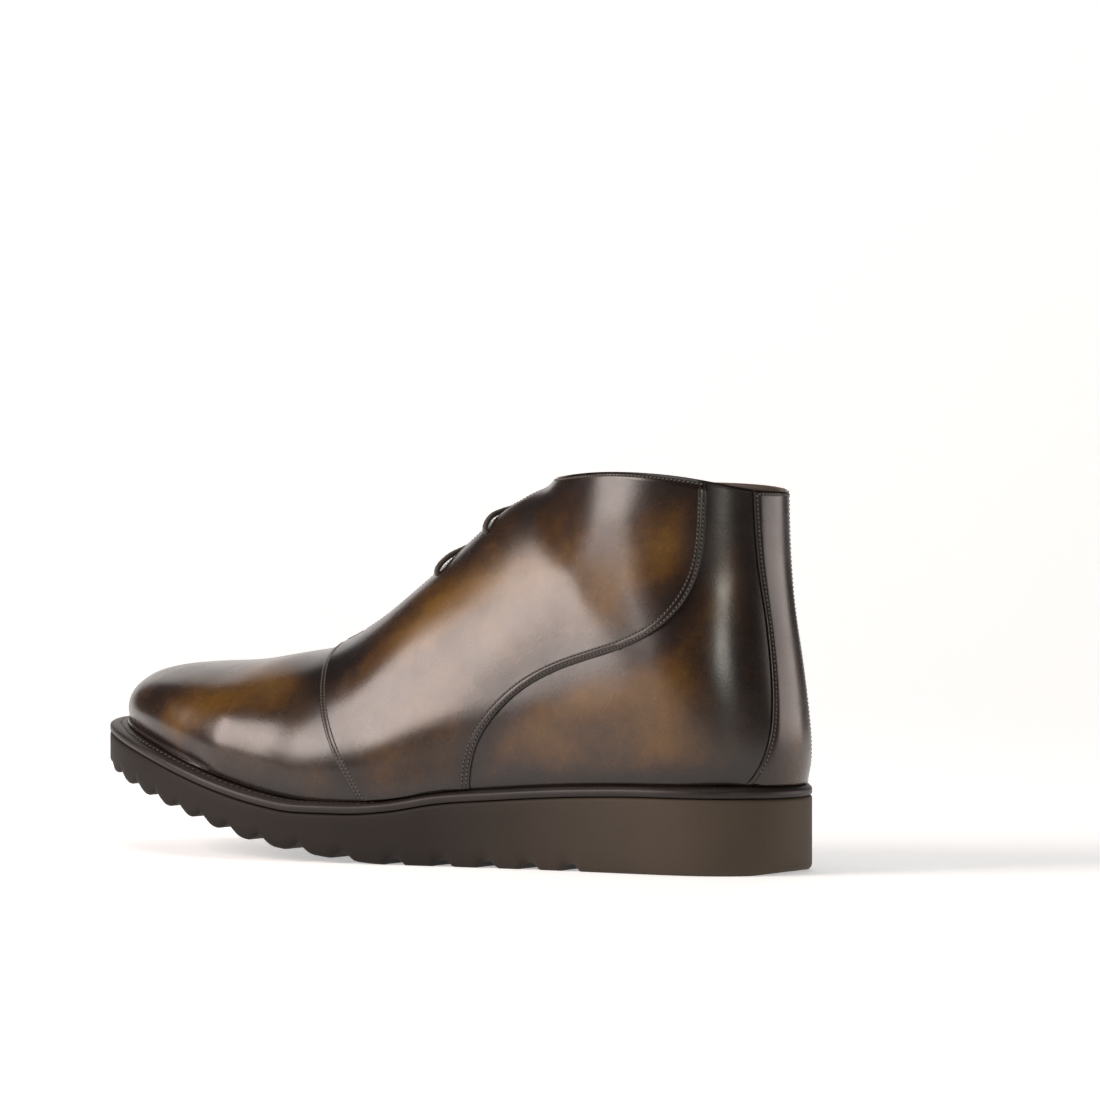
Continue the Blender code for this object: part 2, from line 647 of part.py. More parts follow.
def build_back_strip(material):
    """Strip over the back seam, the form's own face between two offsets, wider at its base.

    Each column runs from the collar down to the section whose foot is as wide as the column.
    """
    rows = np.array(STRIP)
    down = np.linspace(0.0, 1.0, 18)
    half = smooth_table(rows[:, 0], rows[:, 1], down)
    heel = np.linspace(HEEL_END - 2.0, HEEL_END, 41)
    foot = form(heel, 0.0, 1)[:, 1]
    columns = []
    for share, side in ((1.0, 1), (0.7, 1), (0.35, 1), (0.0, 1), (0.35, -1), (0.7, -1), (1.0, -1)):
        last = np.interp(-share * half[-1], -foot, heel)
        s = COLLAR - 0.03 + down * (last - COLLAR + 0.03)
        a = angle_below(s, side, half * share) if share else np.zeros(len(s))
        columns.append((s, a, side))
    layers = []
    for offset in (STRIP_GAP + STRIP_THICKNESS, STRIP_GAP):
        layer = np.stack([skin(s, a, side, np.full(s.shape, offset)) for s, a, side in columns], axis=1)
        layer[..., 2] = np.maximum(layer[..., 2], welt_top(layer[..., 0]) + FOOT_GAP)
        layer[-1, :, 2] = welt_top(layer[-1, :, 0]) + FOOT_GAP
        for k, (s, a, side) in enumerate(columns):
            layer[-1, k, :2] += form_normal(s[-1], 0.4, side)[:2] * STRIP_FLARE
        layers.append(layer)
    points, faces = slab(layers[0], layers[1])
    return to_mesh("back_strip", points, faces, material)


def build_tongue(material):
    """Flap under the facings: rows along the ridge, half width growing to the top."""
    s = np.concatenate([np.linspace(6.2, 8.0, 5), np.linspace(9.0, 19.6, 12)])
    rows = np.array(TONGUE)
    half = smooth_table(rows[:, 0], rows[:, 1], s)
    layers = []
    for offset in (-(WALL + TONGUE_DROP), -(WALL + TONGUE_DROP + TONGUE_THICKNESS)):
        columns = []
        for across in np.linspace(1.0, -1.0, 9):
            side = 1 if across >= 0 else -1
            a = angle_at(s, side, half * abs(across)) if across else np.full(s.shape, 2.0)
            columns.append(skin(s, a, side, np.full(s.shape, offset)))
        layers.append(np.stack(columns, axis=1))
    points, faces = slab(layers[0], layers[1])
    return to_mesh("tongue", points, faces, material)


HOLES = (
    # section of each lace hole, top one first
    11.6,
    9.85,
)


def hole_frame(s, side):
    """Middle of a lace hole on the form and the direction of its bore."""
    a = angle_at(s, side, HOLE_FROM_MIDLINE)
    return form(s, a, side), form_normal(s, a, side)


def curve_through(points, count):
    """Evenly stepped smooth curve through guide points (Catmull-Rom)."""
    guide = np.asarray(points, float)
    ends = np.concatenate([[2 * guide[0] - guide[1]], guide, [2 * guide[-1] - guide[-2]]])
    dense = []
    t = np.linspace(0.0, 1.0, 12, endpoint=False)[:, None]
    for i in range(len(guide) - 1):
        p0, p1, p2, p3 = ends[i:i + 4]
        dense.append(0.5 * (2 * p1 + (p2 - p0) * t + (2 * p0 - 5 * p1 + 4 * p2 - p3) * t**2
                            + (3 * p1 - p0 - 3 * p2 + p3) * t**3))
    dense = np.concatenate(dense + [guide[-1:]])
    length = np.concatenate([[0.0], np.cumsum(np.linalg.norm(np.diff(dense, axis=0), axis=1))])
    at = np.linspace(0.0, length[-1], count)
    return np.stack([np.interp(at, length, dense[:, k]) for k in range(3)], axis=1)


def tube(path, radius, sides):
    """Loops of a round cord along a path, turned with the least twist."""
    tangent = np.gradient(path, axis=0)
    tangent = tangent / np.linalg.norm(tangent, axis=1, keepdims=True)
    across = np.cross(tangent[0], [0.0, 0.0, 1.0])
    if np.linalg.norm(across) < 0.1:
        across = np.cross(tangent[0], [1.0, 0.0, 0.0])
    loops = []
    angle = np.linspace(0.0, 2 * np.pi, sides, endpoint=False)[:, None]
    for point, direction in zip(path, tangent):
        across = across - direction * np.dot(across, direction)
        across = across / np.linalg.norm(across)
        other = np.cross(direction, across)
        loops.append(point + radius * (np.cos(angle) * across + np.sin(angle) * other))
    return np.stack(loops)


def build_lace(material):
    """One cord: top bar, down inside, lower bar back, then up inside to the first hole."""
    under = WALL + 1.8
    over = PANEL_GAP + PANEL_THICKNESS + 1.9
    top_out, top_out_n = hole_frame(HOLES[0], 1)
    top_in, top_in_n = hole_frame(HOLES[0], -1)
    low_out, low_out_n = hole_frame(HOLES[1], 1)
    low_in, low_in_n = hole_frame(HOLES[1], -1)
    guide = [top_out - top_out_n * (under + 0.2)]
    bars = (
        (HOLES[0], top_out, top_out_n, top_in, top_in_n),
        (HOLES[1], low_in, low_in_n, low_out, low_out_n),
    )
    for number, (s, near, near_n, far, far_n) in enumerate(bars):
        if number == 1:
            guide.append(near - near_n * (under - 0.4))
        guide += [near, near + near_n * over * 0.85]
        sign = 1 if number == 0 else -1
        for share in (0.62, 0.0, -0.62):
            side = sign if share >= 0 else -sign
            a = angle_at(s, side, HOLE_FROM_MIDLINE * abs(share)) if share else 2.0
            guide.append(form(s, a, side) + form_normal(s, a, side) * over)
        guide += [far + far_n * over * 0.85, far]
        guide.append(far - far_n * (under - 0.4))
        if number == 0:
            for mix in (0.3, 0.5, 0.7):
                section = HOLES[0] + (HOLES[1] - HOLES[0]) * mix
                a = angle_at(section, -1, HOLE_FROM_MIDLINE)
                guide.append(form(section, a, -1) - form_normal(section, a, -1) * under)
        else:
            for mix in (0.3, 0.5, 0.7):
                section = HOLES[1] + (HOLES[0] - HOLES[1]) * mix
                a = angle_at(section, 1, HOLE_FROM_MIDLINE)
                guide.append(form(section, a, 1) - form_normal(section, a, 1) * under)
    path = curve_through(guide, 60)
    points, faces = lofted(tube(path, LACE_RADIUS, 6))
    return to_mesh("lace", points, faces, material)


def punch(target, s, side, radius):
    """Cut a round lace hole through a piece along the form's normal."""
    centre, direction = hole_frame(s, side)
    bm = bmesh.new()
    wide, deep = radius * MM, PUNCH_DEPTH * MM
    bmesh.ops.create_cone(bm, cap_ends=True, segments=14, radius1=wide, radius2=wide, depth=deep)
    mesh = bpy.data.meshes.new("punch")
    bm.to_mesh(mesh)
    bm.free()
    cutter = bpy.data.objects.new("punch", mesh)
    bpy.context.scene.collection.objects.link(cutter)
    axis = np.asarray(direction)
    helper = np.cross([0.0, 0.0, 1.0], axis)
    helper = helper / np.linalg.norm(helper)
    other = np.cross(axis, helper)
    frame = Matrix([[helper[i], other[i], axis[i], centre[i] * MM] for i in range(3)] + [[0, 0, 0, 1]])
    cutter.data.transform(frame)
    change = target.modifiers.new("hole", "BOOLEAN")
    change.operation = "DIFFERENCE"
    change.solver = "EXACT"
    change.object = cutter
    graph = bpy.context.evaluated_depsgraph_get()
    cut = bpy.data.meshes.new_from_object(target.evaluated_get(graph))
    target.modifiers.remove(change)
    target.data = cut
    bpy.data.objects.remove(cutter, do_unlink=True)


def centre_on_floor(items):
    """Move everything so the middle of the whole box is over the origin and its base at height 0."""
    corners = np.concatenate([[tuple(v.co) for v in item.data.vertices] for item in items])
    low, high = corners.min(axis=0), corners.max(axis=0)
    shift = -np.array([(low[0] + high[0]) / 2, (low[1] + high[1]) / 2, low[2]])
    for item in items:
        item.data.transform(Matrix.Translation(shift.tolist()))
        item.data.update()


def build():
    """Make every piece of the boot."""
    clear_scene()
    vamp = make_material("upper_leather", COGNAC, 0.35)
    panel = make_material("quarter_leather", BROWN, 0.35)
    dark = make_material("strip_leather", BROWN, 0.4)
    edge = make_material("welt_leather", DARK, 0.5)
    rubber = make_material("sole_rubber", (0.045, 0.033, 0.027, 1.0), 0.75)
    lining = make_material("insole_leather", (0.05, 0.032, 0.022, 1.0), 0.7)
    soft = make_material("tongue_leather", BROWN, 0.45)
    cord = make_material("lace_cord", DARK, 0.6)
    items = [build_outsole(rubber), build_welt(edge), build_insole(lining)]
    upper = build_upper(vamp)
    outer = build_quarter("quarter_lateral", 1, panel)
    inner = build_quarter("quarter_medial", -1, panel)
    for s in HOLES:
        for side, flap in ((1, outer), (-1, inner)):
            punch(upper, s, side, HOLE_RADIUS)
            punch(flap, s, side, HOLE_RADIUS)
    items += [upper, outer, inner, build_back_strip(dark), build_tongue(soft), build_lace(cord)]
    centre_on_floor(items)


build()
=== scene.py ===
"""Left chukka boot in patinated brown calf on a wedge rubber sole, seen from its outer side."""
import bmesh
import bpy
import numpy as np
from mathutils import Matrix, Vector


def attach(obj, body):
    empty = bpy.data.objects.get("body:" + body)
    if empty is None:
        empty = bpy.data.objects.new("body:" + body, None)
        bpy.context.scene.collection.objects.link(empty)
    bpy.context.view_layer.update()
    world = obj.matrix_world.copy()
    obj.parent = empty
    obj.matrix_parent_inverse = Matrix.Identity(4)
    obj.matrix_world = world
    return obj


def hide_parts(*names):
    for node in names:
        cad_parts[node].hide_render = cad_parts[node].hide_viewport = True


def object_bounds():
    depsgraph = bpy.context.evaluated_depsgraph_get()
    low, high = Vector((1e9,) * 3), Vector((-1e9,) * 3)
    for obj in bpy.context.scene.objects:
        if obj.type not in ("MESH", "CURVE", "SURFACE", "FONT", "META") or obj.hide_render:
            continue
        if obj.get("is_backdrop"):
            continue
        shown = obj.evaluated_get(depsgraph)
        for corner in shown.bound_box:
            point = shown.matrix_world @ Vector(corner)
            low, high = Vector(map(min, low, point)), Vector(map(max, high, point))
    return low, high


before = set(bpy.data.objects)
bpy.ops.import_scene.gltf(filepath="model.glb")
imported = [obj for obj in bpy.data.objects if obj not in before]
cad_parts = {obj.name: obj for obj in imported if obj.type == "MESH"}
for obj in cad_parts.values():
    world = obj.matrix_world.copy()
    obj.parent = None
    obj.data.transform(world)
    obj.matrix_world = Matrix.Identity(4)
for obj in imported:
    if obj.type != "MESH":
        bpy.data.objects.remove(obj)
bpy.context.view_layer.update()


# OUTSOLE. A one-piece wedge of dark brown foam rubber, moulded, with rounded cross grooves under
# the arch and the forefoot. It is cemented under the welt.
SHIFT = np.array([-152.455, -2.08, 0.0])
SOLE_LENGTH = 305.0
BALL_WIDTH = 104.0
BOOT_HEIGHT = 142.0
OUTLINE = np.array([
    # place from heel to toe, outer and inner half width: shares of SOLE_LENGTH and BALL_WIDTH
    (0.000, 0.000, 0.000), (0.005, 0.097, 0.097), (0.020, 0.188, 0.188), (0.050, 0.270, 0.270),
    (0.100, 0.322, 0.320), (0.150, 0.336, 0.334), (0.200, 0.344, 0.336), (0.300, 0.366, 0.325),
    (0.400, 0.409, 0.325), (0.500, 0.462, 0.352), (0.600, 0.508, 0.413), (0.650, 0.520, 0.450),
    (0.700, 0.520, 0.473), (0.750, 0.505, 0.480), (0.800, 0.472, 0.477), (0.850, 0.418, 0.452),
    (0.900, 0.338, 0.405), (0.950, 0.222, 0.325), (0.980, 0.112, 0.240), (0.995, 0.012, 0.143),
    (1.000, -0.058, 0.058),
])
PROFILE = np.array([
    # place, height of the top edge, height of the tread: shares of SOLE_LENGTH and BOOT_HEIGHT
    (0.00, 0.190, 0.010), (0.03, 0.192, 0.000), (0.14, 0.192, 0.000), (0.23, 0.187, 0.000),
    (0.34, 0.172, 0.000), (0.42, 0.157, 0.000), (0.48, 0.135, 0.000), (0.54, 0.126, 0.009),
    (0.60, 0.127, 0.026), (0.66, 0.145, 0.047), (0.72, 0.175, 0.080), (0.78, 0.211, 0.115),
    (0.84, 0.247, 0.149), (0.90, 0.278, 0.181), (0.95, 0.299, 0.206), (1.00, 0.315, 0.228),
])
GROOVES = (
    # middles of the cross grooves, shares of SOLE_LENGTH
    0.243, 0.298, 0.353, 0.410, 0.472, 0.538, 0.597, 0.651,
    0.698, 0.741, 0.782, 0.825, 0.869, 0.915, 0.957,
)
GROOVE_DEPTH = 3.2
GROOVE_HALF_WIDTH = 4.0
OUTLINE_POINTS = 460


def hermite(keys, values, slopes, at):
    """Cubic pieces between rows: h00*a + h10*d*ma + h01*b + h11*d*mb with the slopes m at the rows."""
    k = np.clip(np.searchsorted(keys, at, side="right") - 1, 0, len(keys) - 2)
    d = np.diff(keys)[k]
    t = (at - keys[k]) / d
    h00 = 2 * t**3 - 3 * t**2 + 1
    h10 = t**3 - 2 * t**2 + t
    h01 = 3 * t**2 - 2 * t**3
    h11 = t**3 - t**2
    return h00 * values[k] + h10 * d * slopes[k] + h01 * values[k + 1] + h11 * d * slopes[k + 1]


def spline(keys, values, at, period=None):
    """Cubic through the rows with continuous curvature; with a period it closes on itself."""
    keys = np.asarray(keys, float)
    values = np.asarray(values, float)
    at = np.asarray(at, float)
    if period:
        reach = 6
        keys = np.concatenate([keys[-reach:] - period, keys, keys[:reach] + period])
        values = np.concatenate([values[-reach:], values, values[:reach]])
        at = (at - keys[reach]) % period + keys[reach]
    step = np.diff(keys)
    rise = np.diff(values) / step
    count = len(keys)
    matrix = np.zeros((count, count))
    right = np.zeros(count)
    inner = np.arange(1, count - 1)
    matrix[inner, inner - 1] = step[1:]
    matrix[inner, inner] = 2 * (step[1:] + step[:-1])
    matrix[inner, inner + 1] = step[:-1]
    right[inner] = 3 * (step[1:] * rise[:-1] + step[:-1] * rise[1:])
    matrix[0, 0], matrix[0, 1], right[0] = 2.0, 1.0, 3 * rise[0]
    matrix[-1, -1], matrix[-1, -2], right[-1] = 2.0, 1.0, 3 * rise[-1]
    return hermite(keys, values, np.linalg.solve(matrix, right), np.clip(at, keys[0], keys[-1]))


def smooth_table(keys, values, at):
    """Cubic through the rows with slopes limited so that it never swings past a row."""
    keys = np.asarray(keys, float)
    values = np.asarray(values, float)
    at = np.clip(np.asarray(at, float), keys[0], keys[-1])
    steps = np.diff(keys)
    rises = np.diff(values) / steps
    slopes = np.zeros_like(values)
    before, after = rises[:-1], rises[1:]
    same = before * after > 0
    mean = (steps[1:] * before + steps[:-1] * after) / (steps[1:] + steps[:-1])
    cap = 3.0 * np.minimum(abs(before), abs(after))
    slopes[1:-1] = np.where(same, np.sign(mean) * np.minimum(abs(mean), cap), 0.0)
    slopes[0] = rises[0]
    slopes[-1] = rises[-1]
    return hermite(keys, values, slopes, at)


def ease(x, low, high):
    """0 below low, 1 above high, 3t^2 - 2t^3 between."""
    t = np.clip((np.asarray(x, float) - low) / (high - low), 0.0, 1.0)
    return t * t * (3.0 - 2.0 * t)


def sole_top(along):
    """Height of the outsole's top edge at a place along it."""
    return smooth_table(PROFILE[:, 0], PROFILE[:, 1], np.asarray(along) / SOLE_LENGTH) * BOOT_HEIGHT


def sole_tread(along):
    """Height of the tread: a rounded notch on the floor, turning into sharp cusps toward the toe.

    Each groove adds depth * ((1 - t) * (1 - u*u)**0.8 + t * (1 - v)**1.7); u and v are the offsets
    over the half width and over 1.6 of it, t grows from 0 at the arch to 1 at the ball.
    """
    along = np.asarray(along, float)
    base = smooth_table(PROFILE[:, 0], PROFILE[:, 2], along / SOLE_LENGTH) * BOOT_HEIGHT
    cut = np.zeros_like(along)
    for share in GROOVES:
        u = np.clip(abs(along - share * SOLE_LENGTH) / GROOVE_HALF_WIDTH, 0.0, 1.0)
        v = np.clip(abs(along - share * SOLE_LENGTH) / (1.6 * GROOVE_HALF_WIDTH), 0.0, 1.0)
        t = float(ease(share, 0.45, 0.62))
        cut = cut + GROOVE_DEPTH * ((1.0 - t) * 0.85 * (1.0 - u * u)**0.8 + t * 1.1 * (1.0 - v)**1.7)
    return base + cut


def outline_loop(theta):
    """Points round the outsole outline and their outward directions; theta 0 heel, pi toe, 2 pi heel.

    x = length * (1 - cos(theta)) / 2 and y is a closed cubic of theta through the table's rows.
    """
    turn = np.arccos(1.0 - 2.0 * OUTLINE[:, 0])
    keys = np.concatenate([turn, 2 * np.pi - turn[-2:0:-1]])
    across = np.concatenate([OUTLINE[:, 1], -OUTLINE[-2:0:-1, 2]]) * BALL_WIDTH
    both = []
    for at in (theta, theta - 0.002, theta + 0.002):
        x = SOLE_LENGTH * (1.0 - np.cos(at)) / 2
        both.append(np.stack([x, spline(keys, across, at, 2 * np.pi)], axis=1))
    tangent = both[2] - both[1]
    normal = np.stack([-tangent[:, 1], tangent[:, 0]], axis=1)
    return both[0], normal / np.linalg.norm(normal, axis=1, keepdims=True)


def grid_quads(rows, columns, start=0, flip=False, wrap=False):
    """Quads of a rows by columns grid as an array; wrap joins the last row to the first."""
    last = rows if wrap else rows - 1
    i, j = np.meshgrid(np.arange(last), np.arange(columns - 1), indexing="ij")
    k = (i * columns + j).ravel()
    n = (((i + 1) % rows) * columns + j).ravel()
    quads = np.stack([k, k + 1, n + 1, n], axis=1) + start
    return quads[:, ::-1] if flip else quads


def filled(ring, steps, bottom, top):
    """Points and quads of a closed solid: the wall of a ring grid, and two faces that span it.

    Each face point is near * (1 - mix) + far * mix between opposite points of the outline, at the
    height that bottom or top gives for its place along the sole.
    """
    count, columns = ring.shape[:2]
    half = count // 2 + 1
    points = [ring.reshape(-1, 3)]
    quads = [grid_quads(count, columns, wrap=True)]
    start = count * columns
    for column, height, flip in ((0, bottom, False), (columns - 1, top, True)):
        near = ring[:half, column]
        far = ring[(count - np.arange(half)) % count, column]
        mix = np.linspace(0.0, 1.0, steps)[None, :, None]
        fill = near[:, None] * (1.0 - mix) + far[:, None] * mix
        fill[..., 2] = height(fill[..., 0])
        points.append(fill.reshape(-1, 3))
        quads.append(grid_quads(half, steps, start, flip))
        start += fill.size // 3
    return np.concatenate(points), np.concatenate(quads)


def add_mesh(name, points, quads, materials, attributes=(), slots=None, weld=1e-6):
    """Object at the origin from millimetre points in the heel frame, welded, smooth, facing outward."""
    mesh = bpy.data.meshes.new(name)
    co = ((np.asarray(points, float) + SHIFT) * 0.001).astype(np.float32)
    quads = np.asarray(quads, np.int32)
    mesh.vertices.add(len(co))
    mesh.vertices.foreach_set("co", co.ravel())
    mesh.loops.add(quads.size)
    mesh.loops.foreach_set("vertex_index", quads.ravel())
    mesh.polygons.add(len(quads))
    mesh.polygons.foreach_set("loop_start", np.arange(0, quads.size, quads.shape[1], dtype=np.int32))
    mesh.update(calc_edges=True)
    for label, values in attributes:
        layer = mesh.attributes.new(label, "FLOAT", "POINT")
        layer.data.foreach_set("value", np.asarray(values, np.float32).ravel())
    if slots is not None:
        mesh.polygons.foreach_set("material_index", np.asarray(slots, np.int32))
    bm = bmesh.new()
    bm.from_mesh(mesh)
    bmesh.ops.remove_doubles(bm, verts=bm.verts, dist=weld)
    bmesh.ops.dissolve_degenerate(bm, edges=bm.edges, dist=weld)
    bmesh.ops.recalc_face_normals(bm, faces=bm.faces)
    if bm.calc_volume(signed=True) < 0:
        bmesh.ops.reverse_faces(bm, faces=bm.faces)
    bm.to_mesh(mesh)
    bm.free()
    mesh.polygons.foreach_set("use_smooth", np.ones(len(mesh.polygons), bool))
    for material in materials:
        mesh.materials.append(material)
    item = bpy.data.objects.new(name, mesh)
    bpy.context.scene.collection.objects.link(item)
    return item


def new_material(name, colour, roughness):
    """A material of one colour, its shader, and functions that add nodes to it and link them."""
    material = bpy.data.materials.new(name)
    material.use_nodes = True
    tree = material.node_tree
    shader = tree.nodes["Principled BSDF"]
    shader.inputs["Base Color"].default_value = (*colour, 1.0)
    shader.inputs["Roughness"].default_value = roughness

    def add(kind, inputs=(), **settings):
        node = tree.nodes.new(kind)
        for key, value in settings.items():
            setattr(node, key, value)
        for key, value in dict(inputs).items():
            if isinstance(value, bpy.types.NodeSocket):
                tree.links.new(value, node.inputs[key])
            else:
                node.inputs[key].default_value = value
        return node

    def join(value, socket):
        tree.links.new(value, socket)

    return material, shader, add, join


def mixed(parts, factor, low, high):
    """Base colour of a new material: low * (1 - factor) + high * factor. Returns the mix node."""
    material, shader, add, join = parts
    mix = add("ShaderNodeMix", {"Factor": factor}, data_type="RGBA")
    mix.inputs[6].default_value = (*low, 1)
    mix.inputs[7].default_value = (*high, 1)
    join(mix.outputs[2], shader.inputs["Base Color"])
    return mix


def grained(parts, where, scale, detail, strength):
    """Bump of a new material: fine noise 0.2 mm deep times strength."""
    material, shader, add, join = parts
    fine = add("ShaderNodeTexNoise", {"Vector": where, "Scale": scale, "Detail": detail})
    bump = add("ShaderNodeBump", {"Height": fine.outputs["Fac"], "Strength": strength, "Distance": 0.0002})
    join(bump.outputs[0], shader.inputs["Normal"])


parts = new_material("outsole_rubber", (0.02, 0.014, 0.011), 0.62)
rubber, shader, add, join = parts
shader.inputs["Specular IOR Level"].default_value = 0.22
where = add("ShaderNodeTexCoord").outputs["Object"]
cloud = add("ShaderNodeTexNoise", {"Vector": where, "Scale": 40.0, "Detail": 4.0})
split = add("ShaderNodeSeparateXYZ", {"Vector": where})
# the heel is a little paler and warmer than the toe
toward = add("ShaderNodeMapRange", {"Value": split.outputs["X"], "From Min": -0.16, "From Max": -0.02})
warm = mixed(parts, toward.outputs[0], (0.072, 0.053, 0.037), (0.013, 0.009, 0.0072))
vary = add("ShaderNodeMapRange", {"Value": cloud.outputs["Fac"], "To Min": 0.85, "To Max": 1.15})
tinted = add("ShaderNodeVectorMath", {0: warm.outputs[2]}, operation="SCALE")
join(vary.outputs[0], tinted.inputs["Scale"])
join(tinted.outputs[0], shader.inputs["Base Color"])
grained(parts, where, 1400.0, 3.0, 0.35)

even = np.linspace(0.0, np.pi, OUTLINE_POINTS)
theta = np.concatenate([even, 2 * np.pi - even[-2:0:-1]])
loop, outward = outline_loop(theta)
section = (
    # inset from the outline, share of the way from tread to top, millimetres added to the height
    (11.0, 0.0, 0.0), (5.0, 0.0, 0.0), (1.9, 0.0, 0.0), (1.0, 0.0, 0.25), (0.35, 0.0, 0.8),
    (0.0, 0.0, 1.9), (0.0, 0.25, 1.2), (0.0, 0.5, 0.2), (0.0, 0.75, -0.5), (0.0, 1.0, -1.4),
    (0.12, 1.0, -0.6), (0.6, 1.0, -0.12), (1.4, 1.0, 0.0), (5.0, 1.0, 0.0), (11.0, 1.0, 0.0),
)
rings = []
for inset, share, extra in section:
    place = loop - outward * inset
    low, high = sole_tread(place[:, 0]), sole_top(place[:, 0])
    rings.append(np.column_stack([place, low + (high - low) * share + extra]))
points, quads = filled(np.stack(rings, axis=1), 9, sole_tread, sole_top)
outsole = add_mesh("outsole_wedge", points, quads, [rubber], weld=2e-5)
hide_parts("outsole")
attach(outsole, "root")


# WELT. A dark leather ring between upper and outsole: upright edge, soft bevel and a narrow
# shelf, sewn through with a fine row of stitches round the forefoot.
SOLE_GAP = 0.5
WELT_EDGE = 2.5
WELT_BEVEL = 1.3
WELT_TUCK = 2.9
STITCH_GROOVE = 0.58
FOOT_GAP = 0.45


def shelf_width(along):
    """How far the upper's foot stands in from the sole's edge: wide in front, narrow at the heel."""
    return smooth_table((0.0, 90.0, 200.0, 275.0, 305.0), (3.0, 3.6, 5.4, 6.2, 7.4), along)


def welt_top(along):
    """Height of the welt where the upper stands on it."""
    return sole_top(along) + SOLE_GAP + WELT_EDGE + WELT_BEVEL


parts = new_material("welt_edge", (0.015, 0.011, 0.01), 0.45)
edge, shader, add, join = parts
shader.inputs["Specular IOR Level"].default_value = 0.35
where = add("ShaderNodeTexCoord").outputs["Object"]
streak = add("ShaderNodeTexNoise", {"Vector": where, "Scale": 90.0, "Detail": 6.0})
mixed(parts, streak.outputs["Fac"], (0.008, 0.0055, 0.005), (0.026, 0.018, 0.015))
grained(parts, where, 900.0, 2.0, 0.2)

shelf = shelf_width(loop[:, 0])
section = (
    # inset in shares of the shelf's width, inset in mm, height in mm over the underside
    (0.0, 0.5, -0.25), (0.0, 0.02, 0.15), (0.0, 0.0, 1.2), (0.0, 0.0, WELT_EDGE - 0.7),
    (0.0, 0.18, WELT_EDGE - 0.15), (0.0, 0.6, WELT_EDGE + 0.22), (0.35, 0.0, WELT_EDGE + 0.75),
    (0.5, 0.0, WELT_EDGE + 1.0), (STITCH_GROOVE, 0.0, WELT_EDGE + 0.75), (0.66, 0.0, WELT_EDGE + 1.12),
    (0.85, 0.0, WELT_EDGE + WELT_BEVEL), (1.0, WELT_TUCK, WELT_EDGE + WELT_BEVEL), (1.0, WELT_TUCK, -0.25),
)
rows = []
for share, inset, height in section:
    place = loop - outward * (shelf * share + inset)[:, None]
    rows.append(np.column_stack([place, sole_top(place[:, 0]) + SOLE_GAP + height]))
ring = np.stack(rows, axis=1)
count, columns = ring.shape[:2]
first = np.arange(count) * columns
following = np.roll(first, -1)
last = columns - 1
closing = np.stack([first + last, first, following, following + last], axis=1)
quads = np.concatenate([grid_quads(count, columns, wrap=True), closing])
welt = add_mesh("welt_ring", ring.reshape(-1, 3), quads, [edge])
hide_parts("welt")
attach(welt, "root")


# INSOLE. A thin board inside the welt, covered with a brown leather sock. It lies on the outsole.
INSOLE_THICKNESS = 5.0


def insole_under(along):
    """Height of the insole's underside."""
    return sole_top(along) + SOLE_GAP


def insole_face(along):
    """Height of the insole's upper face."""
    return insole_under(along) + INSOLE_THICKNESS


def plain_material(name, colour, roughness, scale, detail, strength):
    """A material of one colour with a fine grain."""
    parts = new_material(name, colour, roughness)
    grained(parts, parts[2]("ShaderNodeTexCoord").outputs["Object"], scale, detail, strength)
    return parts[0]


sock = plain_material("insole_sock", (0.075, 0.045, 0.028), 0.6, 700.0, 3.0, 0.3)
rows = []
for inset, drop in ((0.3, INSOLE_THICKNESS), (0.3, 0.8), (0.7, 0.25), (1.6, 0.0), (6.0, 0.0)):
    place = loop - outward * (shelf + WELT_TUCK + inset)[:, None]
    rows.append(np.column_stack([place, insole_face(place[:, 0]) - drop]))
points, quads = filled(np.stack(rows, axis=1), 7, insole_under, insole_face)
insole = add_mesh("insole_sock", points, quads, [sock], weld=2e-5)
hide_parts("insole")
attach(insole, "root")


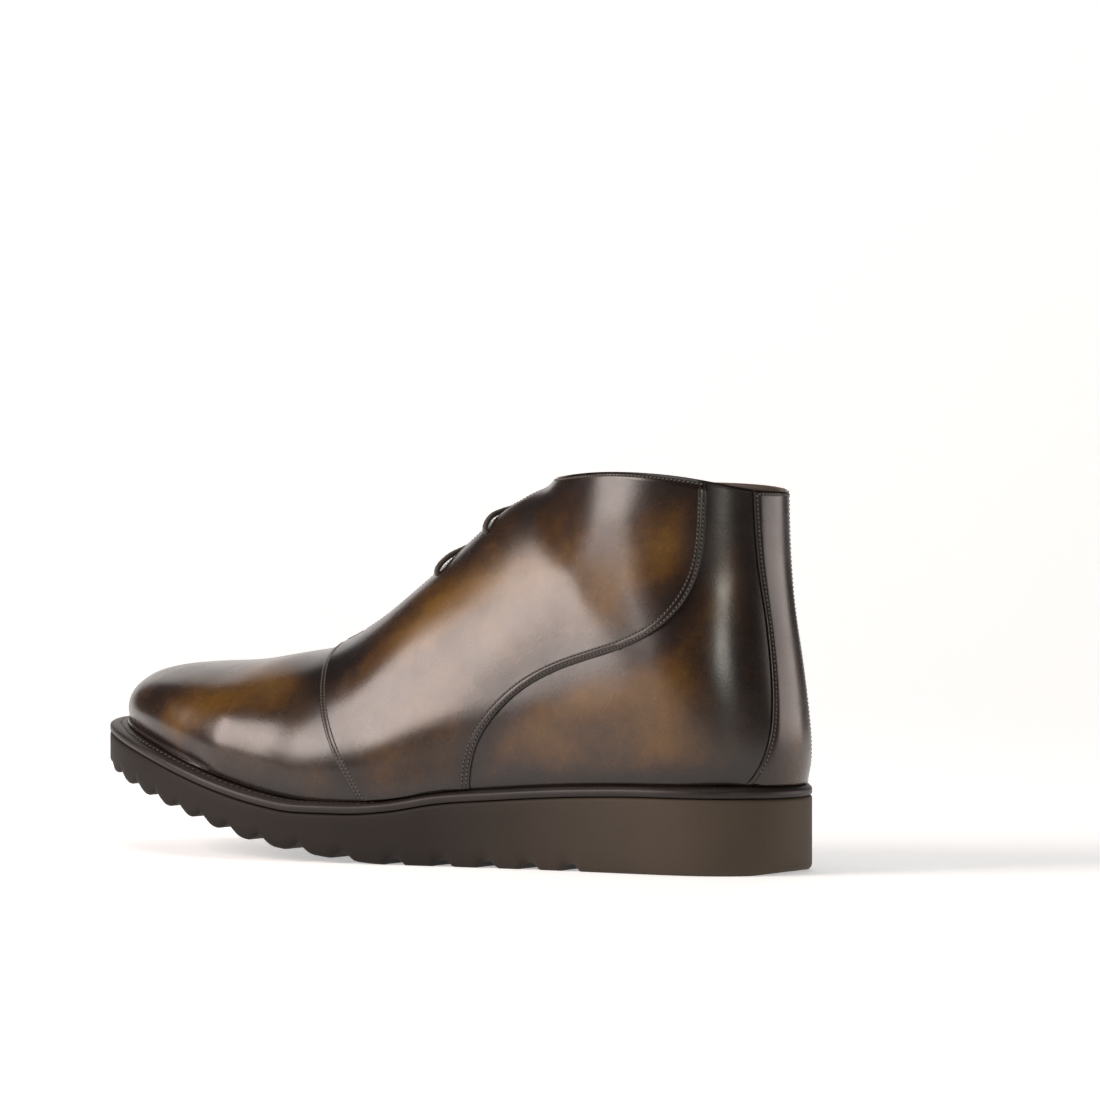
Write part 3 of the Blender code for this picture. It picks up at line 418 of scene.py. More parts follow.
# UPPER. Calf shell pulled over the last and tucked under on the welt: the vamp in front and the
# counter behind, in one thickness, with the facings cut open over the instep.
SECTIONS = np.array([
    # ridge_x, ridge_z, foot_x, foot_z, foot_out, foot_in, belly_out, belly_in, belly_at, round, mid
    (0.977, 0.385, 0.978, 0.000, -0.058, 0.058, -0.058, 0.058, 0.30, 2.0, -0.058),
    (0.965, 0.425, 0.965, 0.000, 0.055, 0.180, 0.067, 0.192, 0.32, 2.0, -0.056),
    (0.940, 0.457, 0.937, 0.000, 0.168, 0.279, 0.186, 0.297, 0.32, 2.1, -0.052),
    (0.902, 0.482, 0.890, 0.000, 0.288, 0.361, 0.306, 0.379, 0.30, 2.2, -0.048),
    (0.846, 0.495, 0.820, 0.000, 0.394, 0.418, 0.413, 0.436, 0.28, 2.2, -0.042),
    (0.770, 0.502, 0.728, 0.000, 0.460, 0.430, 0.480, 0.445, 0.28, 2.1, -0.036),
    (0.705, 0.523, 0.639, 0.000, 0.463, 0.394, 0.482, 0.413, 0.27, 2.0, -0.030),
    (0.640, 0.546, 0.523, 0.000, 0.430, 0.324, 0.446, 0.356, 0.26, 1.9, -0.024),
    (0.585, 0.602, 0.462, 0.000, 0.404, 0.303, 0.420, 0.341, 0.25, 1.9, -0.018),
    (0.528, 0.684, 0.377, 0.000, 0.361, 0.289, 0.380, 0.325, 0.25, 2.1, -0.012),
    (0.477, 0.766, 0.282, 0.000, 0.327, 0.291, 0.355, 0.326, 0.25, 2.1, -0.008),
    (0.435, 0.839, 0.190, 0.000, 0.312, 0.308, 0.348, 0.334, 0.25, 2.1, -0.004),
    (0.407, 0.889, 0.105, 0.000, 0.293, 0.293, 0.343, 0.337, 0.25, 2.1, 0.0),
    (0.388, 0.919, 0.046, 0.000, 0.296, 0.296, 0.340, 0.336, 0.26, 2.1, 0.0),
    (0.375, 0.936, 0.018, 0.000, 0.298, 0.298, 0.338, 0.336, 0.28, 2.0, 0.0),
    (0.367, 0.944, 0.0095, 0.224, 0.300, 0.300, 0.337, 0.335, 0.30, 2.0, 0.0),
    (0.356, 0.952, 0.0060, 0.338, 0.318, 0.318, 0.337, 0.335, 0.33, 2.0, 0.0),
    (0.345, 0.958, 0.0105, 0.458, 0.326, 0.326, 0.332, 0.331, 0.36, 2.0, 0.0),
    (0.335, 0.962, 0.0200, 0.600, 0.322, 0.322, 0.324, 0.324, 0.40, 2.0, 0.0),
    (0.326, 0.965, 0.0310, 0.775, 0.314, 0.314, 0.315, 0.315, 0.43, 2.0, 0.0),
    (0.318, 0.967, 0.0330, 0.958, 0.309, 0.309, 0.310, 0.310, 0.45, 2.0, 0.0),
])
# sections at the throat, at the end of the heel's foot and at the collar
THROAT, HEEL_END, COLLAR = 7.0, 15.0, 20.0
SLIT_HALF_WIDTH = 7.5
CORNER_RADIUS = 7.5
CORNER_SECTIONS = 5.2
WALL = 1.7
LEAN = 0.055
FORM_ROWS = 420
STEP_A = 0.025
# the stiff toe: where its narrowing starts and ends, and how far each side steps in
PUFF_FROM, PUFF_TO, PUFF_STEP = 217.0, 239.0, 2.2
OUTER_TOPLINE = 1.2
# distances of the stitch rows from an edge, where it is sewn twice and once
DOUBLE_ROWS = (1.1, 2.7)
SINGLE_ROW = 1.3
SWELLS = np.array([
    # soft troughs and ridges worn into the sides, in side view: along, up, long and short half
    # size in mm, tilt in degrees, how far the leather stands out (below 0 in) in mm
    (26, 72, 20, 19, 0, 1.00), (24, 104, 16, 12, 0, -0.70), (90, 94, 52, 13, -44, 0.62),
    (60, 92, 34, 14, -30, -0.20), (146, 62, 20, 6, -60, -0.22), (163, 60, 24, 7, -62, 0.25),
    (184, 58, 6, 18, 12, -0.28), (194, 56, 6, 17, 12, 0.22), (216, 46, 8, 16, 8, 0.35),
    (100, 56, 26, 9, -20, 0.25), (76, 44, 24, 7, 0, -0.20), (60, 128, 20, 8, -5, 0.22),
    (140, 47, 34, 7.5, -17, 0.50),
])


def section_value(s, column):
    """One column of the fan table at section s."""
    return smooth_table(np.arange(len(SECTIONS)), SECTIONS[:, column], s)


def back_line(height):
    """How far forward of the sole's end the back seam stands at a height."""
    rows = SECTIONS[int(HEEL_END):]
    return smooth_table(rows[:, 3], rows[:, 2], np.asarray(height) / BOOT_HEIGHT) * SOLE_LENGTH


def raw_form(s, a, side):
    """Outer face of the upper. s runs along the fan, a = 0 foot, 1 belly, 2 ridge.

    point = foot + v * (ridge - foot); half width w = foot_w + (belly_w - foot_w) * sin(a*90)**(2/2.2)
    below the belly and belly_w * cos((a-1)*90)**(2/round) above it. Over the last 35 to 41 mm before
    the back line both are narrowed by (1 - u**2.05)**(1/2.05), u growing from 0 to 1, and above
    92 mm by up to LEAN. Behind the throat the middle of each chord bows upward.
    """
    s, a = np.broadcast_arrays(np.asarray(s, float), np.asarray(a, float))
    ridge_x, ridge_z = section_value(s, 0) * SOLE_LENGTH, section_value(s, 1) * BOOT_HEIGHT
    foot_x = section_value(s, 2) * SOLE_LENGTH
    heel_z = welt_top(foot_x) + FOOT_GAP
    back_z = np.maximum(section_value(s, 3) * BOOT_HEIGHT, heel_z)
    foot_z = np.where(s < HEEL_END, heel_z, back_z)
    foot_x = np.where(s < HEEL_END, foot_x, back_line(back_z))
    mid = section_value(s, 10) * BALL_WIDTH
    foot_w = np.maximum(section_value(s, 4 if side > 0 else 5) * BALL_WIDTH - side * mid, 0.0)
    belly_w = np.maximum(section_value(s, 6 if side > 0 else 7) * BALL_WIDTH - side * mid, 0.0)
    belly_at, power = section_value(s, 8), section_value(s, 9)
    low = np.clip(a, 0.0, 1.0) * np.pi / 2
    high = np.clip(a - 1.0, 0.0, 1.0) * np.pi / 2
    v_low = belly_at * (1.0 - np.cos(low)**(2 / 2.2))
    w_low = foot_w + (belly_w - foot_w) * np.sin(low)**(2 / 2.2)
    v_high = belly_at + (1.0 - belly_at) * np.sin(high)**(2 / power)
    w_high = belly_w * np.maximum(np.cos(high), 0.0)**(2 / power)
    v = np.where(a <= 1.0, v_low, v_high)
    w = np.where(a >= 2.0, 0.0, np.where(a <= 1.0, w_low, w_high))
    bow = (5.0 if side > 0 else 2.0) * np.clip((s - THROAT) / (COLLAR - THROAT), 0.0, 1.0)**2
    x = foot_x + v * (ridge_x - foot_x)
    z = foot_z + v * (ridge_z - foot_z) + bow * 4.0 * v * (1.0 - v)
    reach = 35.0 + 6.0 * np.clip(z / BOOT_HEIGHT, 0.0, 1.0)
    u = np.clip((back_line(z) + reach - x) / reach, 0.0, 1.0)
    narrow = (1.0 - u**2.05)**(1.0 / 2.05)
    narrow = narrow * (1.0 - LEAN * np.clip((z - 92.0) / 50.0, 0.0, 1.0)**2)
    closed = (a <= 0.0) & (s >= HEEL_END)
    return np.stack([x, mid + side * np.where(closed, 0.0, w * narrow), z], axis=-1)


def soften(band, sigma, weight):
    """Gaussian of sigma rows down a band of points, ends held, without shrinking: 2G - GG."""
    reach = int(3 * sigma)
    kernel = np.exp(-0.5 * (np.arange(-reach, reach + 1) / sigma)**2)
    kernel = kernel / kernel.sum()

    def blur(data):
        first = 2 * data[:1] - data[reach:0:-1]
        last = 2 * data[-1:] - data[-2:-reach - 2:-1]
        long = np.concatenate([first, data, last])
        return sum(k * long[i:i + len(data)] for i, k in enumerate(kernel))

    once = blur(band)
    calm = once + blur(band - once)
    return band + (calm - band) * weight[..., None]


def spot_radius(x, z, along, high, long, short, tilt):
    """Squared distance r * r from a tilted oval spot in side view, 1 at its edge."""
    turn = np.radians(tilt)
    dx, dz = x - along, z - high
    u = (dx * np.cos(turn) + dz * np.sin(turn)) / long
    v = (dz * np.cos(turn) - dx * np.sin(turn)) / short
    return u * u + v * v


probe = np.linspace(0.0, COLLAR, 1001)
length = np.zeros(len(probe))
for side in (1, -1):
    for a in (0.0, 0.5, 1.0, 1.5):
        path = raw_form(probe, 0.0 * probe + a, side)
        length[1:] += np.cumsum(np.linalg.norm(np.diff(path, axis=0), axis=1)) / 8.0
grid_s = np.interp(np.linspace(0.0, length[-1], FORM_ROWS), length, probe)
grid_a = np.arange(0.0, 2.0 + STEP_A / 2, STEP_A)
raw = {side: raw_form(grid_s[:, None], grid_a[None, :], side) for side in (1, -1)}
# round the corner of the fan at the heel, and the toe, by softening along the joined sides
corner = ease(abs(grid_s - HEEL_END), 1.2, 2.6)[:, None]
weight = 1.0 - (1.0 - corner) * (1.0 - ease(grid_a, 0.0, 0.35)[None, :])
joined = np.concatenate([raw[1][::-1], raw[-1][1:]])
joined_weight = np.concatenate([weight[::-1], weight[1:]])
joined = soften(joined, 13.0, joined_weight)
count = len(grid_s)
smooth = {1: joined[count - 1::-1], -1: joined[count - 1:]}
# then along each section, over the ridge to the other side; the foot line stays where it is
over = np.concatenate([smooth[1], smooth[-1][:, -2::-1]], axis=1)
hold = np.concatenate([ease(grid_a, 0.0, 0.3), ease(grid_a, 0.0, 0.3)[-2::-1]])
over = soften(over.transpose(1, 0, 2), 4.0, np.repeat(hold[:, None], count, axis=1)).transpose(1, 0, 2)
width = len(grid_a)
FORM = {1: over[:, :width], -1: over[:, :width - 2:-1]}
# each swell adds height * exp(-r * r) to the half width, less near the foot and the ridge, and
# nothing where the two sides meet at the toe and the back seam
apart = ease(0.5 * abs(FORM[1][..., 1] - FORM[-1][..., 1]), 0.5, 16.0)
for side in (1, -1):
    FORM[side] = FORM[side].copy()
    x, z = FORM[side][..., 0], FORM[side][..., 2]
    hold = (ease(grid_a, 0.05, 0.5) * (1.0 - ease(grid_a, 1.55, 1.95)))[None, :]
    for swell in SWELLS:
        FORM[side][..., 1] += side * swell[5] * hold * apart * np.exp(-spot_radius(x, z, *swell[:5]))
    # the stiff toe stands a little narrower than the vamp behind it
    FORM[side][..., 1] -= side * PUFF_STEP * hold * apart * ease(x, PUFF_FROM, PUFF_TO)
    # the outer topline stands a little higher than the inner one, level with it at the back seam
    rise = OUTER_TOPLINE * (side > 0) * ease(grid_s, COLLAR - 2.5, COLLAR)
    FORM[side][..., 2] += rise[:, None] * ease(grid_a, 0.15, 0.8)[None, :]
    FORM[side][grid_s >= HEEL_END, 0, 1] = 0.0


def form_normals(side):
    """Outward directions of the form's grid, taken across toe, ridge and back seam from both sides."""
    here, there = FORM[side], FORM[-side]
    rows = np.concatenate([there[1:2], here, 2 * here[-1:] - here[-2:-1]])
    along = rows[2:] - rows[:-2]
    below = 2 * here[:, :1] - here[:, 1:2]
    back = grid_s >= HEEL_END
    below[back] = there[back, 1:2]
    columns = np.concatenate([below, here, there[:, -2:-1]], axis=1)
    up = columns[:, 2:] - columns[:, :-2]
    normal = np.cross(along, up) * side
    length = np.linalg.norm(normal, axis=-1, keepdims=True)
    normal = normal / np.maximum(length, 1e-9)
    normal[0, -1] = normal[1, -1] * [1.0, 0.0, 1.0]
    normal[0, -1] = normal[0, -1] / np.linalg.norm(normal[0, -1])
    return normal


NORMALS = {side: form_normals(side) for side in (1, -1)}


def read_grid(table, s, a):
    """Cubic reading of a grid of points between its rows and columns (Catmull-Rom weights)."""
    s, a = np.broadcast_arrays(np.asarray(s, float), np.asarray(a, float))
    u = np.clip(np.interp(s, grid_s, np.arange(len(grid_s))), 0.0, len(grid_s) - 1.000001)
    w = np.clip(a / STEP_A, 0.0, len(grid_a) - 1.000001)
    i, j = u.astype(int), w.astype(int)
    fu, fw = u - i, w - j

    def weights(t):
        return (-0.5 * t + t * t - 0.5 * t**3, 1 - 2.5 * t * t + 1.5 * t**3,
                0.5 * t + 2 * t * t - 1.5 * t**3, -0.5 * t * t + 0.5 * t**3)

    total = np.zeros(s.shape + (3,))
    for di, wi in zip((-1, 0, 1, 2), weights(fu)):
        for dj, wj in zip((-1, 0, 1, 2), weights(fw)):
            row = np.clip(i + di, 0, len(grid_s) - 1)
            column = np.clip(j + dj, 0, len(grid_a) - 1)
            total += table[row, column] * (wi * wj)[..., None]
    return total


def surface(s, a, side):
    """Softened form at (s, a)."""
    return read_grid(FORM[side], s, a)


def direction(s, a, side):
    """Unit outward direction of the softened form at (s, a)."""
    normal = read_grid(NORMALS[side], s, a)
    return normal / np.linalg.norm(normal, axis=-1, keepdims=True)


def skin(s, a, side, offset):
    """Softened form moved outward by offset along its own direction."""
    return surface(s, a, side) + direction(s, a, side) * np.asarray(offset)[..., None]


def angle_at(s, side, distance):
    """The a above the belly at which the form stands this far from its middle line."""
    mid = section_value(s, 10) * BALL_WIDTH
    belly = section_value(s, 6 if side > 0 else 7) * BALL_WIDTH - side * mid
    share = np.clip(np.asarray(distance) / np.maximum(belly, 1.0), 0.0, 1.0)
    return 1.0 + np.arccos(share**(section_value(s, 9) / 2)) / (np.pi / 2)


def top_edge(s, side):
    """The a of the facing's edge: the slit opens behind the throat, a quarter round ends it on top."""
    grow = np.clip((np.asarray(s, float) - THROAT) / 1.2, 0.0, 1.0)
    half = SLIT_HALF_WIDTH * np.sqrt(1.0 - (1.0 - grow)**2)
    u = 0.96 * np.clip((np.asarray(s, float) - (COLLAR - CORNER_SECTIONS)) / CORNER_SECTIONS, 0.0, 1.0)
    round_off = CORNER_RADIUS * (1.0 - np.sqrt(1.0 - u * u))
    return np.where(np.asarray(s) <= THROAT, 2.0, angle_at(s, side, half + round_off))


def lift(s):
    """How far the upper stands off the form: nothing at the toe, 0.75 mm where the panels lap on it."""
    return 0.75 * ease(s, 3.5, THROAT)


PATINA = np.array([
    # soft spots of the hand-rubbed colour in side view: along, up, long and short half size in mm,
    # tilt in degrees, strength (above 0 rubbed to amber, below 0 left dark)
    (236, 53, 17, 6.5, -8, 1.00), (214, 61, 22, 7, 4, 0.75), (213, 68, 20, 4, 12, 0.55),
    (246, 45, 10, 5, 25, 0.50), (151, 80, 26, 8, -38, 0.85), (131, 92, 20, 9, -38, 0.80),
    (109, 105, 22, 10, -35, 0.85), (87, 107, 15, 8, -20, 0.60), (52, 109, 18, 12, -10, 0.75),
    (35, 118, 12, 13, 0, 0.60), (58, 93, 24, 10, -10, 0.60), (118, 74, 30, 9, -40, 0.45),
    (140, 58, 26, 10, -50, 0.12), (86, 58, 24, 9, -18, 0.66), (57, 64, 24, 9, -6, 0.58),
    (36, 58, 15, 15, 0, 0.70), (88, 45, 20, 6, 0, 0.55), (33, 45, 13, 8, 0, 0.70),
    (18, 98, 6, 13, 0, 0.40), (198, 50, 16, 12, 20, 0.30), (42, 97, 12, 6, -30, -0.50),
    (176, 75, 9, 9, 0, -0.60), (258, 47, 9, 9, 0, -0.45), (118, 90, 22, 3, -38, -0.35),
    (14, 70, 6, 30, 0, -0.40), (192, 72, 12, 5, 20, -0.30),
])


def rubbed(points):
    """Patina at points, 0 dark to 1 amber, less near the welt.

    It is an even 0.42 with 0.62 * strength * exp(-0.8 * r * r) added for each spot.
    """
    x, z = points[..., 0], points[..., 2]
    total = np.full(x.shape, 0.42)
    for spot in PATINA:
        total = total + 0.62 * spot[5] * np.exp(-0.8 * spot_radius(x, z, *spot[:5]))
    return np.clip(0.82 * total, 0.0, 1.0) * (0.35 + 0.65 * ease(z - welt_top(x), -1.0, 10.0))


def line_distance(points, lines):
    """Millimetres from each point to the nearest of several polylines, worked out in blocks."""
    flat = points.reshape(-1, 3)
    best = np.full(len(flat), 1e3)
    for line in lines:
        start, step = line[:-1], np.diff(line, axis=0)
        size = np.maximum((step**2).sum(axis=1), 1e-12)
        for first in range(0, len(flat), 8000):
            block = flat[first:first + 8000]
            gap = block[:, None] - start[None]
            t = np.clip((gap * step[None]).sum(axis=2) / size, 0.0, 1.0)
            near = np.sqrt(((gap - t[..., None] * step[None])**2).sum(axis=2)).min(axis=1)
            best[first:first + 8000] = np.minimum(best[first:first + 8000], near)
    return best.reshape(points.shape[:-1])


def leather(name, gloss=0.27, holes=()):
    """Calf with a hand-rubbed patina, worked out from values kept on the mesh and fine noise.

    patina sets the colour, seam darkens it toward the edges, and double and single, which are the
    distances to edges sewn with two rows or one, press the stitch rows in, roughen them and darken
    their colour as painted shade in the grooves. holes are punched places, painted near black as the
    shade inside them.
    """
    material, shader, add, join = new_material(name, (0.1, 0.05, 0.02), gloss)
    where = add("ShaderNodeTexCoord").outputs["Object"]

    def value(label):
        return add("ShaderNodeAttribute", attribute_name=label).outputs["Fac"]

    def math(kind, *inputs):
        return add("ShaderNodeMath", dict(enumerate(inputs)), operation=kind).outputs[0]

    def spread(source, low, high, to_low, to_high, kind="LINEAR"):
        return add("ShaderNodeMapRange", {"Value": source, "From Min": low, "From Max": high,
                                          "To Min": to_low, "To Max": to_high},
                   interpolation_type=kind).outputs[0]

    def noise(scale, detail, rough):
        return add("ShaderNodeTexNoise", {"Vector": where, "Scale": scale, "Detail": detail,
                                          "Roughness": rough}).outputs["Fac"]

    tone = value("patina")
    cloud = spread(noise(34.0, 6.0, 0.62), 0.3, 0.7, -0.2, 0.2)
    cloud = math("MULTIPLY", cloud, spread(tone, 0.0, 0.35, 0.2, 1.0))
    mottle = spread(noise(150.0, 5.0, 0.7), 0.3, 0.7, -0.10, 0.10)
    dust = spread(noise(700.0, 3.0, 0.7), 0.3, 0.7, -0.05, 0.05)
    mixed = math("ADD", math("ADD", tone, cloud), math("ADD", mottle, dust))
    near = spread(value("seam"), 0.4, 13.0, 0.42, 1.0, "SMOOTHSTEP")
    sewn = [("double", place) for place in DOUBLE_ROWS] + [("single", SINGLE_ROW)]
    rows = [math("ABSOLUTE", math("SUBTRACT", value(label), place)) for label, place in sewn]
    press = math("MINIMUM", math("MINIMUM", rows[0], rows[1]), rows[2])
    groove = spread(press, 0.12, 0.55, 1.0, 0.0, "SMOOTHSTEP")
    punched = 0.0
    for place in holes:
        far = add("ShaderNodeVectorMath", {0: where, 1: tuple(place)}, operation="DISTANCE").outputs["Value"]
        punched = math("MAXIMUM", punched, spread(far, 0.0015, 0.0024, 1.0, 0.0, "SMOOTHSTEP"))
    level = math("MULTIPLY", mixed, near)
    # the colour in the stitch grooves is darkened to 0.45: painted shade in the grooves
    level = math("MULTIPLY", level, spread(groove, 0.0, 1.0, 1.0, 0.45))
    ramp = add("ShaderNodeValToRGB", {"Fac": level})
    stops = ((0.0, (0.005, 0.0032, 0.0027)), (0.2, (0.012, 0.0062, 0.0042)), (0.42, (0.03, 0.0138, 0.0055)),
             (0.66, (0.063, 0.028, 0.006)), (1.0, (0.12, 0.058, 0.0085)))
    ramp.color_ramp.elements[0].position, ramp.color_ramp.elements[1].position = 0.0, 1.0
    for position, _ in stops[1:-1]:
        ramp.color_ramp.elements.new(position)
    for element, (_, colour) in zip(ramp.color_ramp.elements, stops):
        element.color = (*colour, 1.0)
    # the lace holes are painted near black: painted shade inside the holes
    dark = add("ShaderNodeMix", {"Factor": punched}, data_type="RGBA")
    join(ramp.outputs["Color"], dark.inputs[6])
    dark.inputs[7].default_value = (0.002, 0.0015, 0.0012, 1.0)
    join(dark.outputs[2], shader.inputs["Base Color"])
    polish = spread(noise(60.0, 4.0, 0.6), 0.3, 0.7, gloss - 0.04, gloss + 0.04)
    join(math("MAXIMUM", polish, spread(groove, 0.0, 1.0, 0.0, 0.72)), shader.inputs["Roughness"])
    shader.inputs["Coat Weight"].default_value = 0.12
    shader.inputs["Coat Roughness"].default_value = 0.2
    shader.inputs["Coat IOR"].default_value = 1.5
    pore = add("ShaderNodeTexVoronoi", {"Vector": where, "Scale": 1100.0})
    bump = add("ShaderNodeBump", {"Height": pore.outputs["Distance"], "Strength": 0.05, "Distance": 0.0002})
    bump = add("ShaderNodeBump", {"Height": noise(170.0, 2.0, 0.5), "Strength": 0.05, "Distance": 0.0006,
                                  "Normal": bump.outputs[0]})
    sunk = math("SUBTRACT", 1.0, math("MAXIMUM", groove, punched))
    bump = add("ShaderNodeBump", {"Height": sunk, "Strength": 0.35, "Distance": 0.00015,
                                  "Normal": bump.outputs[0]})
    join(bump.outputs[0], shader.inputs["Normal"])
    return material


# SIDE PANELS. One calf panel each side from the vamp seam back over the ankle to the counter,
# cut with an S-shaped rear edge, sewn on with double rows; their tops carry the lace holes.
PANEL_GAP = 0.85
PANEL_THICKNESS = 1.1
PANEL_FOOT = 0.16
# the lace holes: sections of the upper and the lower one, and how far off the middle line they lie
HOLES = (11.6, 9.85)
HOLE_FROM_MIDLINE = 13.5
# half the rise, in sections, from an outer hole to the inner one across from it
SLANT = 0.75
COUNTER_SEAM = np.array([
    # side view, from the welt to the collar: shares of SOLE_LENGTH and BOOT_HEIGHT
    (0.377, 0.205), (0.375, 0.245), (0.369, 0.300), (0.345, 0.383), (0.295, 0.470), (0.228, 0.528),
    (0.150, 0.582), (0.114, 0.628), (0.096, 0.680), (0.086, 0.737), (0.081, 0.790), (0.0785, 0.850),
    (0.0780, 0.905), (0.0778, 0.953),
])


def halve(along, height, side):
    """(s, a) of places on the chords of the side view, by halving first s and then a."""
    low, high = np.full(len(along), THROAT), np.full(len(along), COLLAR)
    for _ in range(30):
        s = (low + high) / 2
        foot, ridge = surface(s, 0.0 * s, side), surface(s, 0.0 * s + 2.0, side)
        turn = ((ridge[:, 0] - foot[:, 0]) * (height - foot[:, 2])
                - (ridge[:, 2] - foot[:, 2]) * (along - foot[:, 0]))
        low, high = np.where(turn > 0, s, low), np.where(turn > 0, high, s)
    s = (low + high) / 2
    foot, ridge = surface(s, 0.0 * s, side), surface(s, 0.0 * s + 2.0, side)
    chord = ridge - foot
    want = (along - foot[:, 0]) * chord[:, 0] + (height - foot[:, 2]) * chord[:, 2]
    low, high = np.zeros(len(along)), np.full(len(along), 2.0)
    for _ in range(30):
        a = (low + high) / 2
        place = surface(s, a, side) - foot
        short = place[:, 0] * chord[:, 0] + place[:, 2] * chord[:, 2] < want
        low, high = np.where(short, a, low), np.where(short, high, a)
    return s, (low + high) / 2


def locate(along, height, side):
    """(s, a) of places in the side view: the aim is moved by what the last try missed, five times."""
    x, z = along, height
    for _ in range(5):
        s, a = halve(x, z, side)
        found = surface(s, a, side)
        x, z = x + (along - found[:, 0]), z + (height - found[:, 2])
    return np.stack(halve(x, z, side), axis=1)


def run_length(path):
    """Distance along a polyline at each of its points."""
    return np.append(0.0, np.cumsum(np.linalg.norm(np.diff(path, axis=0), axis=1)))


def along_path(path, length, at):
    """Places on a polyline, or values kept on its points, at given distances along it."""
    return np.stack([np.interp(at, length, path[:, k]) for k in range(path.shape[1])], axis=1)


def resample(curve, count):
    """Points at equal steps along a polyline of (s, a) pairs, a step in a counting eight times."""
    length = run_length(curve * [1.0, 8.0])
    return along_path(curve, length, np.linspace(0.0, length[-1], count))


def slab(outer, inner):
    """Points and quads of a sheet with two faces, grids of one size, joined round all four edges."""
    size = outer.size // 3
    index = np.arange(size).reshape(outer.shape[:2])
    ring = np.concatenate([index[0, :-1], index[:-1, -1], index[-1, :0:-1], index[:0:-1, 0]])
    after = np.roll(ring, -1)
    quads = np.concatenate([grid_quads(*outer.shape[:2]), grid_quads(*outer.shape[:2], size, True),
                            np.stack([after, ring, ring + size, after + size], axis=1)])
    return np.concatenate([outer.reshape(-1, 3), inner.reshape(-1, 3)]), quads


def on_both(**layers):
    """Named attributes that have the same values on the two faces of a sheet."""
    return [(label, np.concatenate([layer.ravel()] * 2)) for label, layer in layers.items()]


# a distance in mm that keeps a face clear of the stitch grooves
UNSEWN = 50.0


def panel_grid(side, u, along):
    """Side panel in (s, a), ruled between its front curve and the counter seam.

    The front curve climbs the vamp seam to the throat and goes on up the facing, so the first
    ruling is the foot and the last one the collar: place = front * (1 - u) + rear * u.
    """
    start, end = THROAT + 0.03, COLLAR - 0.012
    climb = np.linspace(PANEL_FOOT, 1.9, 40)
    late = 1.0 - (1.0 - np.linspace(0.0, 1.0, 90))**1.8
    facing = np.append(THROAT + 0.35, THROAT + 1.0 + (end - THROAT - 1.0) * late)
    front = np.concatenate([
        np.stack([np.full(40, start), climb], axis=1),
        np.stack([facing, top_edge(facing, side) - 0.004], axis=1)])
    front = resample(front, along)
    place = COUNTER_SEAM * [SOLE_LENGTH, BOOT_HEIGHT]
    far = run_length(place)
    at = np.linspace(0.0, far[-1], along - 2)
    x, z = (spline(far, place[:, k], at) for k in (0, 1))
    seam = locate(x, z, side)
    rear = np.concatenate([[(seam[0, 0], PANEL_FOOT)], seam, [(end, seam[-1, 1])]])
    return front[:, None] * (1.0 - u[None, :, None]) + rear[:, None] * u[None, :, None]


PANEL_FACE = PANEL_GAP + PANEL_THICKNESS
holes = [(section + (1 - side) * SLANT, side) for side in (1, -1) for section in HOLES]
holes = [skin(np.array(section), angle_at(section, side, HOLE_FROM_MIDLINE), side, PANEL_FACE)
         for section, side in holes]
panel_leather = leather("panel_calf", holes=[(place + SHIFT) * 0.001 for place in holes])
rim = np.array([0.0, 0.0015, 0.004, 0.008, 0.013, 0.019, 0.025, 0.032, 0.040])
panel_u = np.concatenate([rim, np.linspace(0.05, 0.95, 84), 1.0 - rim[::-1]])
PANEL, PANEL_UP, PANEL_FRONT, PANEL_FAR = {}, {}, {}, {}
for side, name in ((1, "quarter_lateral"), (-1, "quarter_medial")):
    place = panel_grid(side, panel_u, 170)
    s, a = place[..., 0], place[..., 1]
    # the edges are pared: the face sinks by 0.55 mm over the last 3.2 mm and rounds over at the rim
    reach = np.linalg.norm(surface(s[:, -1], a[:, -1], side) - surface(s[:, 0], a[:, 0], side), axis=1)
    near = np.minimum(panel_u, 1.0 - panel_u)[None, :] * reach[:, None]
    sink = 0.55 * (1.0 - ease(near, 0.0, 3.2)) + 0.2 * (1.0 - np.clip(near / 0.5, 0.0, 1.0))**2
    outer = skin(s, a, side, PANEL_FACE - sink)
    inner = skin(s, a, side, np.full(s.shape, PANEL_GAP))
    for face in (outer, inner):
        face[..., 2] = np.maximum(face[..., 2], welt_top(face[..., 0]) + FOOT_GAP)
        face[0, :, 2] = welt_top(face[0, :, 0]) + FOOT_GAP
    PANEL[side], PANEL_UP[side], PANEL_FRONT[side] = outer, direction(s, a, side), place[:, 0]
    turn = int(np.argmax(place[:, 0, 0] > THROAT + 0.05))
    edges = {"vamp": outer[:turn + 1, 0], "facing": outer[turn:, 0], "rear": outer[:, -1], "top": outer[-1]}
    far = {label: line_distance(outer, [line]) for label, line in edges.items()}
    PANEL_FAR[side] = far
    double = np.minimum(far["vamp"], far["rear"])
    single = np.minimum(far["facing"], far["top"])
    seam = np.minimum(double, single * 0.8)
    panel = add_mesh(name + "_panel", *slab(outer, inner), [panel_leather],
                     on_both(patina=rubbed(outer), seam=seam, double=double, single=single))
    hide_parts(name)
    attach(panel, "root")


# BACK STRIP. A narrow strip of the same calf over the back seam, spread at its base, sewn down
# along both edges.
STRIP = np.array([
    # share of the way from collar to welt, half width in millimetres
    (0.00, 11.3), (0.27, 10.4), (0.43, 9.6), (0.58, 10.1),
    (0.72, 11.3), (0.82, 12.9), (0.91, 15.6), (1.00, 19.2),
])
STRIP_GAP = 0.95
STRIP_THICKNESS = 1.0
STRIP_TOP = COLLAR - 0.006


def angle_below(s, side, distance):
    """The a at or below the belly at which the form stands this far out, found by halving."""
    low, high = np.zeros(np.shape(s)), np.ones(np.shape(s))
    for _ in range(26):
        a = (low + high) / 2
        near = abs(surface(s, a, side)[..., 1]) < distance
        low, high = np.where(near, a, low), np.where(near, high, a)
    return (low + high) / 2


